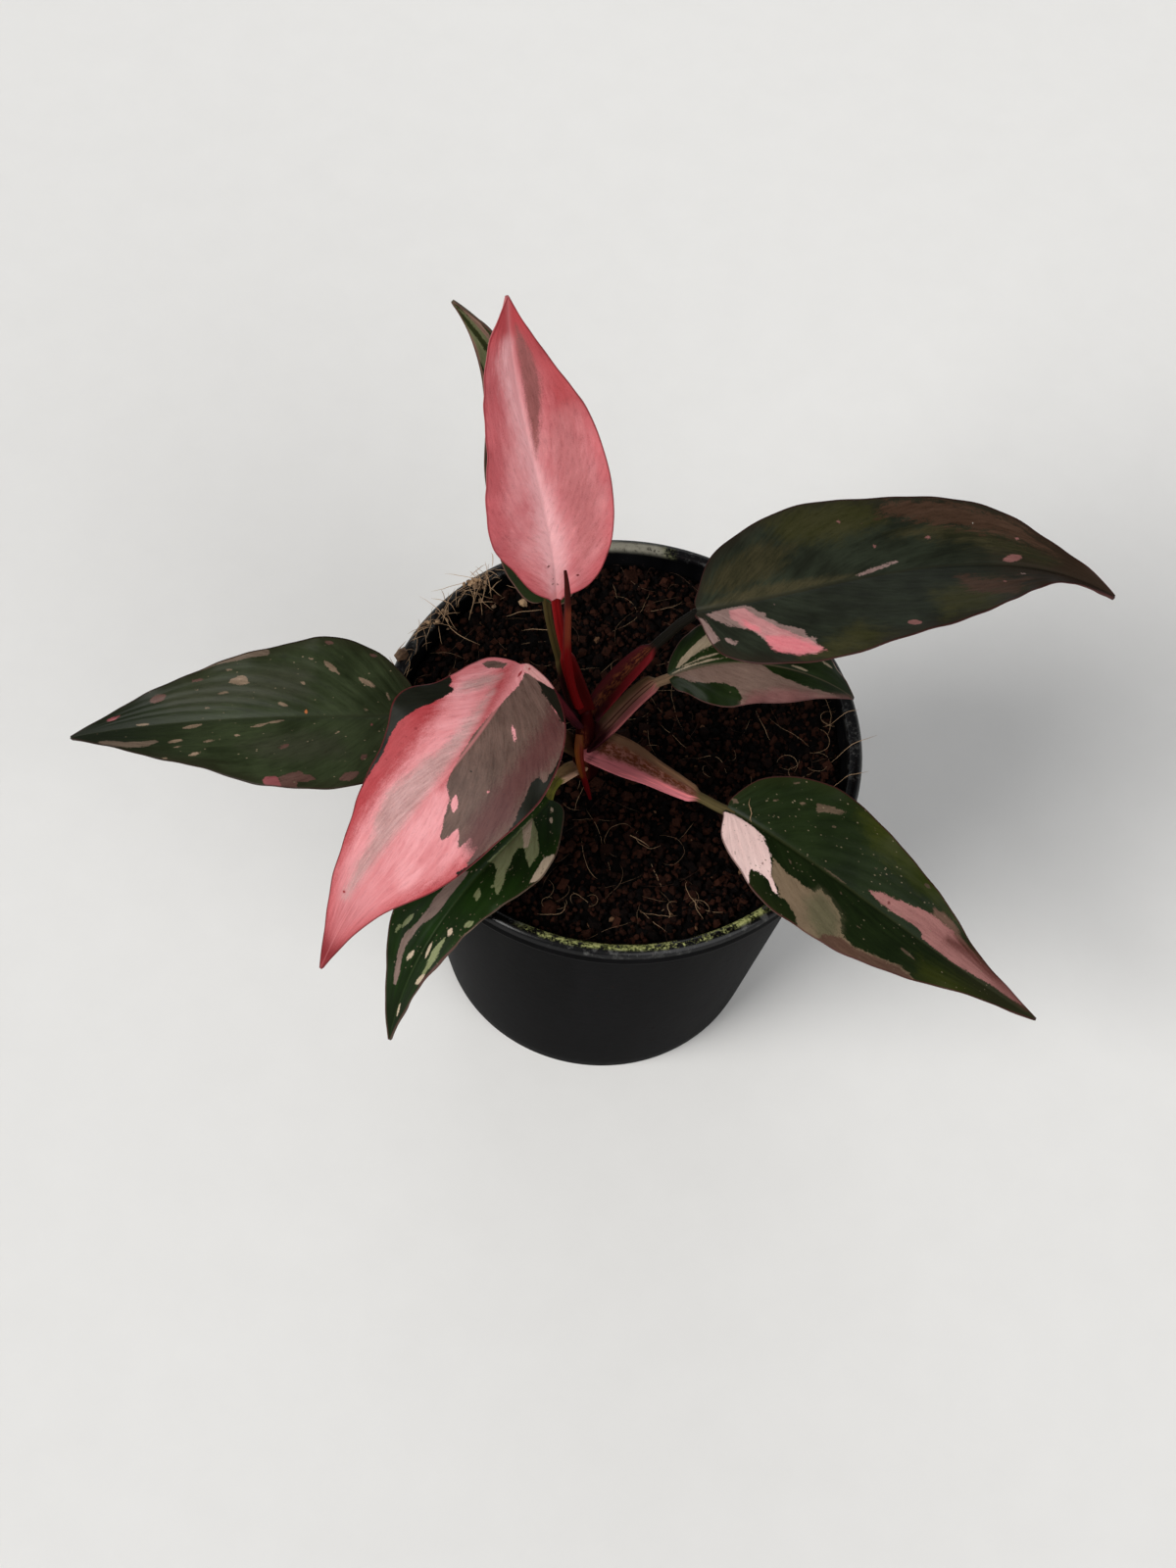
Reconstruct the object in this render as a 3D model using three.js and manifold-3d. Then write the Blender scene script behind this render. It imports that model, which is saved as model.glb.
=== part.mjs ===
// Pink princess philodendron in its nursery pot.
// Millimetres, +Z up. The origin is the middle of the pot's foot, and -Y is the plant's front.
import * as THREE from "three";
import { mergeVertices } from "three/addons/utils/BufferGeometryUtils.js";
import Module from "manifold-3d";

const wasm = await Module();
wasm.setup();

// ---- Driving dimensions, mm ----

const GAP = 0.35; // clearance that separate pieces keep to each other

const POT = {
  height: 112.5,
  rimRadius: 65, // outside of the rolled rim
  rimRoll: 2, // radius of the roll
  skirt: 5.5, // how far the rim's skirt hangs below the top
  shoulderRadius: 61.5, // outside of the wall just under the skirt
  footRadius: 46.5,
  wall: 1.4,
  floor: 4.5, // top of the floor above the table
  recess: 2.5, // the drained ring of the floor stands this far off the table
  padRadius: 15, // flat middle pad that rests on the table
  footRing: 4,
  drainHoles: 8,
  drainRadius: 4,
  drainCircle: 28,
  sides: 48,
};

const SOIL = {
  level: 106.5, // mean height of the potting mix
  crown: 1.2, // it stands this much higher round the stem
  chip: 1.1, // height of the bark chips' random relief
  rings: 13,
  seed: 11,
};

const STEM = {
  path: [
    [-8, -9, 74],
    [-8, -9, 98],
    [-9, -8, 118],
    [-10, -8, 137],
  ],
  radii: [3.4, 3.6, 3.8, 3.6, 3.0],
};

const BLADE = {
  thickness: 0.8,
  midrib: 1.1, // extra depth of the midrib under the blade, at the leaf's base
  neck: 1.2, // half-width where the blade meets its petiole
  tip: 0.35, // half-width at the very tip
  rows: 18,
  columns: 8,
};

const PETIOLE = { steps: 12, sides: 12 };

// Each leaf: midrib as a cubic Bezier from base to tip, the way its upper face looks, its roll about
// the midrib and the fold of its two halves (degrees, base to tip), the droop of the margins and the
// lobes at the base (parts of the half-width), the forward sweep of the side veins, and the half-widths
// left and right of the midrib at even stations. Its petiole is a second Bezier with half-widths of the
// sheath from root to blade, the sheath's cup depth, and the way the open side of the sheath looks.
const LEAVES = [
  {
    name: "leaf_upright_pink",
    color: "#d9848a",
    petioleColor: "#a3262e",
    midrib: [[-20, -2, 178], [-22, 3, 207], [-35, 9, 240], [-36, 13, 270]],
    face: [-0.15, -1, 0.3],
    roll: [24, 36],
    fold: [16, 14],
    droop: 0.05,
    lobe: 0.3,
    sweep: 0.1,
    left: [2.5, 6.5, 10.5, 15, 13.5, 10, 7.5],
    right: [2.5, 9, 13.5, 16.5, 17, 14.5, 7.5],
    petiole: [[-10, -8, 138], [-15, -7, 151], [-20, -4, 164], [-20, -2, 177.6]],
    sheath: [2.4, 2.6, 2.4, 1.9, 1.5, 1.3, 1.2],
    cup: 0.9,
    opening: [0.3, -1, 0.2],
  },
  {
    name: "leaf_right_dark",
    color: "#3c463d",
    petioleColor: "#5d2229",
    midrib: [[15, 7, 166], [48, 9, 178], [88, 36, 176], [122, 29, 160]],
    face: [0, -0.1, 1],
    roll: [0, -8],
    fold: [6, 24],
    droop: 0.03,
    lobe: 0.3,
    sweep: 0.4,
    left: [5.5, 14.5, 20, 22.5, 20, 17, 8],
    right: [4, 14.5, 20.5, 22.5, 21, 16.5, 5.5],
    petiole: [[-8, -7, 134], [-3, -3, 147], [7, 4, 155], [14.7, 7, 165.7]],
    sheath: [2.6, 3.4, 3.4, 2.8, 1.8, 1.5, 1.3],
    cup: 1.6,
    opening: [-0.4, -0.6, 1],
  },
  {
    name: "leaf_front_pink",
    color: "#d98f92",
    petioleColor: "#4d2430",
    midrib: [[-27, -18, 172], [-34, -49, 176], [-56, -57, 154], [-70, -76, 110]],
    face: [-0.3, -0.5, 1],
    roll: [0, 0],
    fold: [8, 11],
    droop: 0.08,
    lobe: 0.2,
    sweep: 0.2,
    left: [6.5, 13.5, 20, 23, 21, 17, 7.5],
    right: [8, 11.5, 15.5, 22, 18, 14, 8],
    petiole: [[-12, -9, 132], [-19, -8, 146], [-22, -9, 163], [-26.8, -17.6, 171.8]],
    sheath: [2.6, 2.6, 2.2, 1.7, 1.5, 1.4, 1.3],
    cup: 0.9,
    opening: [0.6, 0.5, 1],
  },
  {
    name: "leaf_back",
    color: "#55684a",
    petioleColor: "#6b6a45",
    midrib: [[-23, 5, 166], [-26, 14, 190], [-25, 31, 222], [-50, 31, 245]],
    face: [-0.1, -1, 0.45],
    roll: [2, 6],
    fold: [14, 14],
    droop: 0.05,
    lobe: 0.3,
    sweep: 0.15,
    left: [4.5, 7.5, 11, 12.5, 13.5, 10.5, 6],
    right: [5, 8, 11.5, 13.5, 13.5, 10, 2.5],
    petiole: [[-12, -5, 130], [-18, -1, 143], [-22, 3, 154], [-22.9, 4.8, 165.6]],
    sheath: [2.2, 2.2, 1.8, 1.4, 1.3, 1.2, 1.2],
    cup: 0.6,
    opening: [0.6, -1, 0.5],
  },
  {
    name: "leaf_right_small",
    color: "#9c8f80",
    petioleColor: "#b7988f",
    midrib: [[10, -2, 148], [22, 1, 157], [43, 4, 154], [59, 5, 136]],
    face: [0, -0.1, 1],
    roll: [5, 12],
    fold: [1, 4],
    droop: 0.14,
    lobe: 0,
    sweep: 0.3,
    left: [3.5, 7, 11, 12, 10.5, 8, 7],
    right: [4, 6, 9.5, 11.5, 10.5, 9, 5],
    petiole: [[-8, -10, 124], [-3, -10, 132], [3, -2, 141], [9.7, -2.2, 147.8]],
    sheath: [3, 3.2, 3.4, 3.3, 3.1, 2.6, 1.3],
    cup: 1.5,
    opening: [-0.5, -0.2, 1],
  },
  {
    name: "leaf_lower_right",
    color: "#4d6a3f",
    petioleColor: "#d07c84",
    midrib: [[28, -33, 138], [48, -44, 142], [78, -60, 128], [114, -65, 102]],
    face: [0.2, -0.2, 1],
    roll: [0, 6],
    fold: [18, 8],
    droop: 0.04,
    lobe: 0.2,
    sweep: 0.15,
    left: [5, 11.5, 16.5, 19.5, 17.5, 13.5, 6],
    right: [3, 9.5, 14.5, 18.5, 17.5, 13, 5.5],
    petiole: [[-9, -12, 119], [4, -14, 129], [14, -27, 134], [27.7, -32.8, 137.8]],
    sheath: [3.6, 4.9, 5, 4.3, 3, 1.5, 1.3],
    cup: 2.2,
    opening: [-0.3, 0, 1],
  },
  {
    name: "leaf_left",
    color: "#47543f",
    petioleColor: "#56503a",
    midrib: [[-49, -23, 152], [-75, -30, 156], [-105, -27, 148], [-141, -27, 128]],
    face: [0, -0.1, 1],
    roll: [-4, -6],
    fold: [10, 14],
    droop: 0.05,
    lobe: 0.2,
    sweep: 0.15,
    left: [4.5, 11, 18, 20.5, 19.5, 14, 8],
    right: [2, 9.5, 17, 20.5, 18.5, 14.5, 8],
    petiole: [[-12, -9, 119], [-25, -9, 131], [-34, -20, 146], [-48.7, -22.9, 151.9]],
    sheath: [3.2, 3.8, 3.6, 2.6, 1.6, 1.4, 1.3],
    cup: 1.4,
    opening: [0.5, 0, 1],
  },
  {
    name: "leaf_lower_front",
    color: "#567a3c",
    petioleColor: "#8f8650",
    midrib: [[-17, -29, 126], [-27, -48, 128], [-48, -62, 116], [-52, -82, 84]],
    face: [-0.1, -0.4, 1],
    roll: [6, 12],
    fold: [14, 17],
    droop: 0.02,
    lobe: 0.1,
    sweep: 0.25,
    left: [5, 8, 12, 14, 10.5, 8, 4.5],
    right: [5, 9, 12, 13, 11.5, 12.5, 6.5],
    petiole: [[-10, -11, 113], [-13, -16, 119], [-17, -22, 122], [-17, -28.6, 125.9]],
    sheath: [2.6, 2.8, 2.6, 1.9, 1.3, 1.2, 1.1],
    cup: 0.9,
    opening: [0, 0.4, 1],
  },
];

// Sheath leaves without a blade: the slim new one beside the upright leaf and the dry one on the stem.
const CATAPHYLLS = [
  {
    name: "cataphyll_new",
    color: "#7c1a22",
    path: [[-12, -10.4, 142], [-17.5, -9, 160], [-14, -8, 177], [-18, -2.5, 191]],
    widths: [1.5, 1.6, 1.5, 1.2, 1, 0.8, 0.4],
    thickness: 0.7,
    cup: 0.5,
    opening: [0.3, 1, 0.2],
  },
  {
    name: "cataphyll_dry",
    color: "#9a5a35",
    path: [[-11, -12.3, 132], [-11, -18, 127], [-9, -17, 119], [-6.5, -18.5, 110]],
    widths: [1, 1.3, 1.2, 1.1, 0.9, 0.8, 0.4],
    thickness: 0.5,
    cup: 0.3,
    opening: [0, 1, 0.2],
  },
];

// ---- Curves ----

const vec = (p) => new THREE.Vector3(...p);
const bezier = (points) => new THREE.CubicBezierCurve3(...points.map(vec));
const mix = THREE.MathUtils.lerp;

// Value at t (0 to 1) of a smooth curve through evenly spaced stations.
function station(values, t) {
  const last = values.length - 1;
  const x = Math.min(t * last, last - 1e-9);
  const i = Math.floor(x);
  const f = x - i;
  const b = values[i];
  const c = values[i + 1];
  const a = i > 0 ? values[i - 1] : 2 * b - c;
  const d = i + 2 <= last ? values[i + 2] : 2 * c - b;
  const bend = 2 * a - 5 * b + 4 * c - d;
  return 0.5 * (2 * b + (c - a) * f + bend * f * f + (3 * (b - c) + d - a) * f ** 3);
}

// Frame of a curve at s: tangent, side to the right of the upper face, and the face's normal.
function frameAt(curve, s, face, rollDegrees = 0) {
  const tangent = curve.getTangent(s);
  const side = new THREE.Vector3().crossVectors(tangent, face).normalize();
  side.applyAxisAngle(tangent, THREE.MathUtils.degToRad(rollDegrees));
  const normal = new THREE.Vector3().crossVectors(side, tangent);
  return { tangent, side, normal };
}

// ---- Solids ----

// A closed surface as a manifold-3d solid, turned so that its faces point out.
function solidOf(positions, index) {
  const geometry = new THREE.BufferGeometry();
  geometry.setAttribute("position", new THREE.Float32BufferAttribute(positions, 3));
  geometry.setIndex(index);
  return solidOfGeometry(geometry);
}

function solidOfGeometry(geometry) {
  const bare = geometry.clone();
  bare.deleteAttribute("normal");
  bare.deleteAttribute("uv");
  const merged = mergeVertices(bare, 1e-4);
  const build = (triVerts) =>
    new wasm.Manifold(
      new wasm.Mesh({
        numProp: 3,
        vertProperties: new Float32Array(merged.attributes.position.array),
        triVerts: new Uint32Array(triVerts),
      }),
    );
  const solid = build(merged.index.array);
  return solid.volume() > 0 ? solid : build(Array.from(merged.index.array).reverse());
}

// The largest body of a cut solid, so that no scrap is left beside it.
function largest(solid) {
  return solid.decompose().reduce((a, b) => (a.volume() > b.volume() ? a : b));
}

function meshOf(name, solid, color, roughness) {
  const made = solid.getMesh();
  const geometry = new THREE.BufferGeometry();
  const positions = new Float32Array(made.numVert * 3);
  for (let i = 0; i < made.numVert; i++) {
    const from = i * made.numProp;
    positions.set(made.vertProperties.subarray(from, from + 3), i * 3);
  }
  geometry.setAttribute("position", new THREE.BufferAttribute(positions, 3));
  geometry.setIndex(new THREE.BufferAttribute(new Uint32Array(made.triVerts), 1));
  geometry.computeVertexNormals();
  const material = new THREE.MeshStandardMaterial({ color, roughness, metalness: 0 });
  const mesh = new THREE.Mesh(geometry, material);
  mesh.name = name;
  return mesh;
}

// ---- Leaf blade ----

// Point of the blade at t along it (0 base, 1 tip) and v across it (-1 left margin, 1 right margin).
// Rows crowd towards the base, where the outline is round.
function bladePoint(leaf, curve, face, t, v, grow) {
  const s = 1 - Math.cos((t * Math.PI) / 2);
  const { tangent, side, normal } = frameAt(curve, s, face, mix(...leaf.roll, s));
  const stations = v < 0 ? leaf.left : leaf.right;
  const width = station([BLADE.neck, ...stations, BLADE.tip], t) + grow;
  const fold = THREE.MathUtils.degToRad(mix(...leaf.fold, s));
  const sweep = leaf.sweep * s - leaf.lobe * (1 - s) ** 6;
  const reach = t === 0 ? -grow : t === 1 ? grow : 0;
  return curve
    .getPoint(s)
    .addScaledVector(tangent, reach)
    .addScaledVector(side, v * width * Math.cos(fold))
    .addScaledVector(normal, width * (Math.abs(v) * Math.sin(fold) - leaf.droop * v * v))
    .addScaledVector(tangent, sweep * width * v * v);
}

// The blade is a thin shell: an upper grid, and the same grid sunk along its normals as the lower face,
// split into triangles alike, with the midrib standing out below.
function bladeSolid(leaf, grow = 0) {
  const curve = bezier(leaf.midrib);
  const face = vec(leaf.face);
  const { rows, columns } = BLADE;
  const wide = columns + 1;
  const upper = [];
  for (let i = 0; i <= rows; i++) {
    for (let j = 0; j <= columns; j++) {
      const v = (2 * j) / columns - 1;
      upper.push(...bladePoint(leaf, curve, face, i / rows, v, grow).toArray());
    }
  }
  const faces = [];
  for (let i = 0; i < rows; i++) {
    for (let j = 0; j < columns; j++) {
      const a = i * wide + j;
      faces.push(a, a + 1, a + 1 + wide, a, a + 1 + wide, a + wide);
    }
  }
  const sheet = new THREE.BufferGeometry();
  sheet.setAttribute("position", new THREE.Float32BufferAttribute(upper, 3));
  sheet.setIndex(faces);
  sheet.computeVertexNormals();
  const normals = sheet.getAttribute("normal").array;

  const count = upper.length / 3;
  const positions = [];
  const layer = (depthAt) => {
    for (let k = 0; k < count; k++) {
      const depth = depthAt(Math.floor(k / wide), k % wide);
      for (let axis = 0; axis < 3; axis++) {
        positions.push(upper[3 * k + axis] - depth * normals[3 * k + axis]);
      }
    }
  };
  layer(() => -grow);
  layer((i, j) => {
    const rib = j === columns / 2 ? BLADE.midrib * (1 - i / rows) : 0;
    return BLADE.thickness + rib + grow;
  });

  const index = [...faces];
  for (let k = 0; k < faces.length; k += 3) {
    index.push(faces[k] + count, faces[k + 2] + count, faces[k + 1] + count);
  }
  const rim = [];
  for (let j = 0; j < columns; j++) rim.push(j);
  for (let i = 0; i < rows; i++) rim.push(i * wide + columns);
  for (let j = columns; j > 0; j--) rim.push(rows * wide + j);
  for (let i = rows; i > 0; i--) rim.push(i * wide);
  rim.forEach((p, k) => {
    const q = rim[(k + 1) % rim.length];
    index.push(p + count, q + count, q, p + count, q, p);
  });
  return solidOf(positions, index);
}

// ---- Petioles, sheaths and stem ----

// A closed loft along a curve. Its section is an ellipse whose two edges are bent up by cup,
// so that a wide one is an open sheath and a narrow one a round stalk.
function loft(points, { widths, thickness, cup, opening }, grow = 0) {
  const curve = bezier(points);
  const face = vec(opening);
  const { steps, sides } = PETIOLE;
  const positions = [];
  for (let i = 0; i <= steps; i++) {
    const s = i / steps;
    const { tangent, side, normal } = frameAt(curve, s, face);
    const half = station(widths, s);
    const thin = Math.min(half, thickness);
    const bend = cup * Math.min(1, half / Math.max(...widths)) ** 2;
    const centre = curve.getPoint(s);
    if (i === 0) centre.addScaledVector(tangent, -grow);
    if (i === steps) centre.addScaledVector(tangent, grow);
    for (let k = 0; k < sides; k++) {
      const angle = (2 * Math.PI * k) / sides;
      const across = (half + grow) * Math.cos(angle);
      const up = (thin + grow) * Math.sin(angle) + bend * Math.cos(angle) ** 2;
      const point = centre.clone().addScaledVector(side, across).addScaledVector(normal, up);
      positions.push(...point.toArray());
    }
  }
  const index = [];
  for (let i = 0; i < steps; i++) {
    for (let k = 0; k < sides; k++) {
      const a = i * sides + k;
      const b = i * sides + ((k + 1) % sides);
      index.push(a, b, b + sides, a, b + sides, a + sides);
    }
  }
  const end = steps * sides;
  for (let k = 1; k < sides - 1; k++) {
    index.push(0, k + 1, k);
    index.push(end, end + k, end + k + 1);
  }
  return solidOf(positions, index);
}

const petioleSolid = (leaf, grow = 0) =>
  loft(leaf.petiole, { widths: leaf.sheath, thickness: 1.25, cup: leaf.cup, opening: leaf.opening }, grow);

const stemSolid = (grow = 0) =>
  loft(STEM.path, { widths: STEM.radii, thickness: Math.max(...STEM.radii), cup: 0, opening: [0, -1, 0] }, grow);

// ---- Pot ----

function potProfile() {
  const p = POT;
  const under = p.height - p.skirt;
  const innerTop = p.rimRadius - 2 * p.rimRoll;
  const points = [
    [0, 0],
    [p.padRadius, 0],
    [p.padRadius + 1.5, p.recess],
    [p.footRadius - p.footRing - 1.5, p.recess],
    [p.footRadius - p.footRing, 0],
    [p.footRadius - 0.8, 0],
    [p.footRadius, 0.8],
    [p.shoulderRadius, under + 1],
    [p.rimRadius - 0.9, under],
    [p.rimRadius, under + 0.9],
  ];
  const arcSteps = 6;
  for (let k = 0; k <= arcSteps; k++) {
    const angle = (Math.PI * k) / arcSteps;
    const middle = p.rimRadius - p.rimRoll;
    points.push([middle + p.rimRoll * Math.cos(angle), p.height - p.rimRoll + p.rimRoll * Math.sin(angle)]);
  }
  points.push([innerTop, under]);
  points.push([innerWallRadius(under - 2), under - 2]);
  points.push([innerWallRadius(p.floor + 2), p.floor + 2]);
  points.push([innerWallRadius(p.floor) - 1.5, p.floor]);
  points.push([0, p.floor]);
  return points.map(([r, z]) => new THREE.Vector2(r, z));
}

// The cone of the pot's wall: inside radius at height z.
function innerWallRadius(z) {
  const slope = (POT.shoulderRadius - POT.footRadius) / (POT.height - POT.skirt);
  return POT.footRadius + slope * z - POT.wall;
}

// LatheGeometry turns its profile about Y, so the result is stood up.
const lathe = (profile) => new THREE.LatheGeometry(profile, POT.sides).rotateX(Math.PI / 2);

function potSolid() {
  let solid = solidOfGeometry(lathe(potProfile()));
  for (let k = 0; k < POT.drainHoles; k++) {
    const angle = (2 * Math.PI * k) / POT.drainHoles;
    const x = POT.drainCircle * Math.cos(angle);
    const y = POT.drainCircle * Math.sin(angle);
    const drill = new THREE.CylinderGeometry(POT.drainRadius, POT.drainRadius, 3 * POT.floor, 12)
      .rotateX(Math.PI / 2)
      .translate(x, y, POT.floor / 2);
    solid = solid.subtract(solidOfGeometry(drill));
  }
  return solid;
}

// ---- Soil ----

// Repeatable random numbers from 0 to 1.
function seeded(seed) {
  let state = seed;
  return () => {
    state = (state * 16807) % 2147483647;
    return state / 2147483647;
  };
}

// The mix fills the pot up to a rough top: rings of points whose heights follow slow waves,
// a low mound round the stem, and a random chip height.
function soilSolid() {
  const random = seeded(SOIL.seed);
  const sides = POT.sides;
  const topRadius = innerWallRadius(SOIL.level) - GAP;
  const [stemX, stemY] = STEM.path[1];
  const height = (x, y, chip) => {
    const toStem = Math.hypot(x - stemX, y - stemY);
    const waves = 0.8 * Math.sin(0.09 * x + 1) * Math.cos(0.08 * y) - 0.012 * x;
    return SOIL.level + waves + SOIL.crown * Math.exp(-toStem / 18) + chip * SOIL.chip;
  };
  const positions = [0, 0, height(0, 0, 0)];
  for (let ring = 1; ring <= SOIL.rings; ring++) {
    const r = (topRadius * ring) / SOIL.rings;
    for (let k = 0; k < sides; k++) {
      const angle = (2 * Math.PI * k) / sides;
      const x = r * Math.cos(angle);
      const y = r * Math.sin(angle);
      positions.push(x, y, height(x, y, 2 * random() - 1));
    }
  }
  const index = [];
  for (let k = 0; k < sides; k++) index.push(0, 1 + k, 1 + ((k + 1) % sides));
  for (let ring = 0; ring < SOIL.rings - 1; ring++) {
    for (let k = 0; k < sides; k++) {
      const a = 1 + ring * sides + k;
      const b = 1 + ring * sides + ((k + 1) % sides);
      index.push(a, a + sides, b + sides, a, b + sides, b);
    }
  }
  const edge = 1 + (SOIL.rings - 1) * sides;
  const bottomHeight = POT.floor + GAP;
  const shelf = bottomHeight + 2;
  const below = positions.length / 3;
  const lowRings = [
    [innerWallRadius(shelf) - GAP, shelf],
    [innerWallRadius(shelf) - GAP - 2, bottomHeight],
  ];
  for (const [r, z] of lowRings) {
    for (let k = 0; k < sides; k++) {
      const angle = (2 * Math.PI * k) / sides;
      positions.push(r * Math.cos(angle), r * Math.sin(angle), z);
    }
  }
  positions.push(0, 0, bottomHeight);
  const centre = positions.length / 3 - 1;
  for (let k = 0; k < sides; k++) {
    const n = (k + 1) % sides;
    index.push(edge + k, below + k, below + n, edge + k, below + n, edge + n);
    index.push(below + k, below + sides + k, below + sides + n, below + k, below + sides + n, below + n);
    index.push(centre, below + sides + n, below + sides + k);
  }
  return solidOf(positions, index);
}

// ---- Assembly ----

const plant = new THREE.Group();
plant.name = "pink_princess_philodendron";
plant.add(meshOf("pot", potSolid(), "#1c1c1e", 0.55));
plant.add(meshOf("soil", soilSolid().subtract(stemSolid(GAP)), "#33241d", 0.95));
plant.add(meshOf("stem", stemSolid(), "#6a2730", 0.5));

// Stalks are set round the stem one after another, each cut back clear of those set before it.
const set = [stemSolid(GAP)];
function clearOfSet(solid) {
  return largest(set.reduce((left, other) => left.subtract(other), solid));
}

for (const leaf of LEAVES) {
  const blade = bladeSolid(leaf);
  const petiole = clearOfSet(petioleSolid(leaf).subtract(bladeSolid(leaf, GAP)));
  set.push(petioleSolid(leaf, GAP));
  plant.add(meshOf(leaf.name + "_blade", blade, leaf.color, 0.4));
  plant.add(meshOf(leaf.name + "_petiole", petiole, leaf.petioleColor, 0.45));
}

for (const { name, color, path, ...section } of CATAPHYLLS) {
  const solid = clearOfSet(loft(path, section));
  set.push(loft(path, section, GAP));
  plant.add(meshOf(name, solid, color, 0.5));
}

export default plant;
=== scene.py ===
"""Pink princess philodendron in its nursery pot: the looks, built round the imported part.

Lengths below are millimetres in the part's own frame, as in its source, and meshes are made in metres.
"""

import math

import bmesh
import bpy
import numpy as np
from mathutils import Matrix, noise


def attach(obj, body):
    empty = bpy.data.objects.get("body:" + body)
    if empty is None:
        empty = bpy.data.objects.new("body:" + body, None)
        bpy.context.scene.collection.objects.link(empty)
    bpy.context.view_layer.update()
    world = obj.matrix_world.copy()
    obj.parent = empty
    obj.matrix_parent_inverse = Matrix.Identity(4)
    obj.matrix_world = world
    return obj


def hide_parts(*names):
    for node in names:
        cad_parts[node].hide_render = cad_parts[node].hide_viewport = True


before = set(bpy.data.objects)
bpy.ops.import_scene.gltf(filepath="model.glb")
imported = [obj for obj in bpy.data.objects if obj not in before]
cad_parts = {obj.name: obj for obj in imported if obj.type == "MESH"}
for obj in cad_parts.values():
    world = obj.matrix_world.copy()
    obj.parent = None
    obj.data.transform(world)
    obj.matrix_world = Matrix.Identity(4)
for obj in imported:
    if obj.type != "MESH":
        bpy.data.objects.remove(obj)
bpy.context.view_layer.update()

MM = 0.001
BODY = "root"

# ---- Colours, as linear red, green and blue ----

HOT_PINK = (0.6, 0.15, 0.175)
GREY_PINK = (0.165, 0.105, 0.092)
MAUVE = (0.066, 0.023, 0.022)
TAUPE_PALE = (0.165, 0.116, 0.07)
CREAM = (0.8, 0.55, 0.51)
TAN = (0.2, 0.14, 0.09)
SLATE_GREEN = (0.021, 0.026, 0.016)
MOSS_GREEN = (0.024, 0.024, 0.007)
OLIVE_GREEN = (0.014, 0.018, 0.006)
LEAF_GREEN = (0.0045, 0.009, 0.0018)
FRESH_GREEN = (0.01, 0.022, 0.003)
YELLOW_GREEN = (0.017, 0.024, 0.002)
RED_BROWN = (0.034, 0.018, 0.01)
WINE = (0.05, 0.006, 0.009)
WINE_DARK = (0.022, 0.004, 0.006)
STALK_OLIVE = (0.105, 0.08, 0.032)
STALK_GREEN = (0.03, 0.033, 0.016)
SCURF = (0.105, 0.03, 0.012)
FLECK_TAN = (0.17, 0.135, 0.085)
STALK_LINE = (0.012, 0.005, 0.003)
SEAM = (0.03, 0.009, 0.006)

# ---- Leaves ----

NECK = 1.2  # half-width where a blade meets its stalk
TIP = 0.35  # half-width at its tip
BLADE_THICKNESS = 0.8
EDGE_THICKNESS = 0.34
RIB_DEPTH = 1.1  # how far the midrib stands out below, at the base


def marks(shade, light, soft, ragged, patches=(), strokes=(), bare=()):
    """A layer of marks on a blade, coloured from shade to light, with soft and ragged edges. Places are
    (along, across) in millimetres on the flattened leaf, with across negative on the left. A patch is an
    outline, a stroke is two ends and a width, and bare strokes are holes in the patches."""
    return dict(colour=(shade, light), soft=soft, ragged=ragged, patches=patches, strokes=strokes, bare=bare)


# A blade's geometry is the part's own: midrib from base to tip, the way the upper face looks, roll and
# fold in degrees, droop and base lobes as parts of the half-width, forward sweep of the side veins, and
# half-widths left and right of the midrib at even stations. Petiole is the stalk's course from the stem,
# sheath its half-widths, cup the rise of its wings and opening the way its open side looks. Tissue and
# stalk hold the colours and finish, and layers are painted one over the other.

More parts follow.
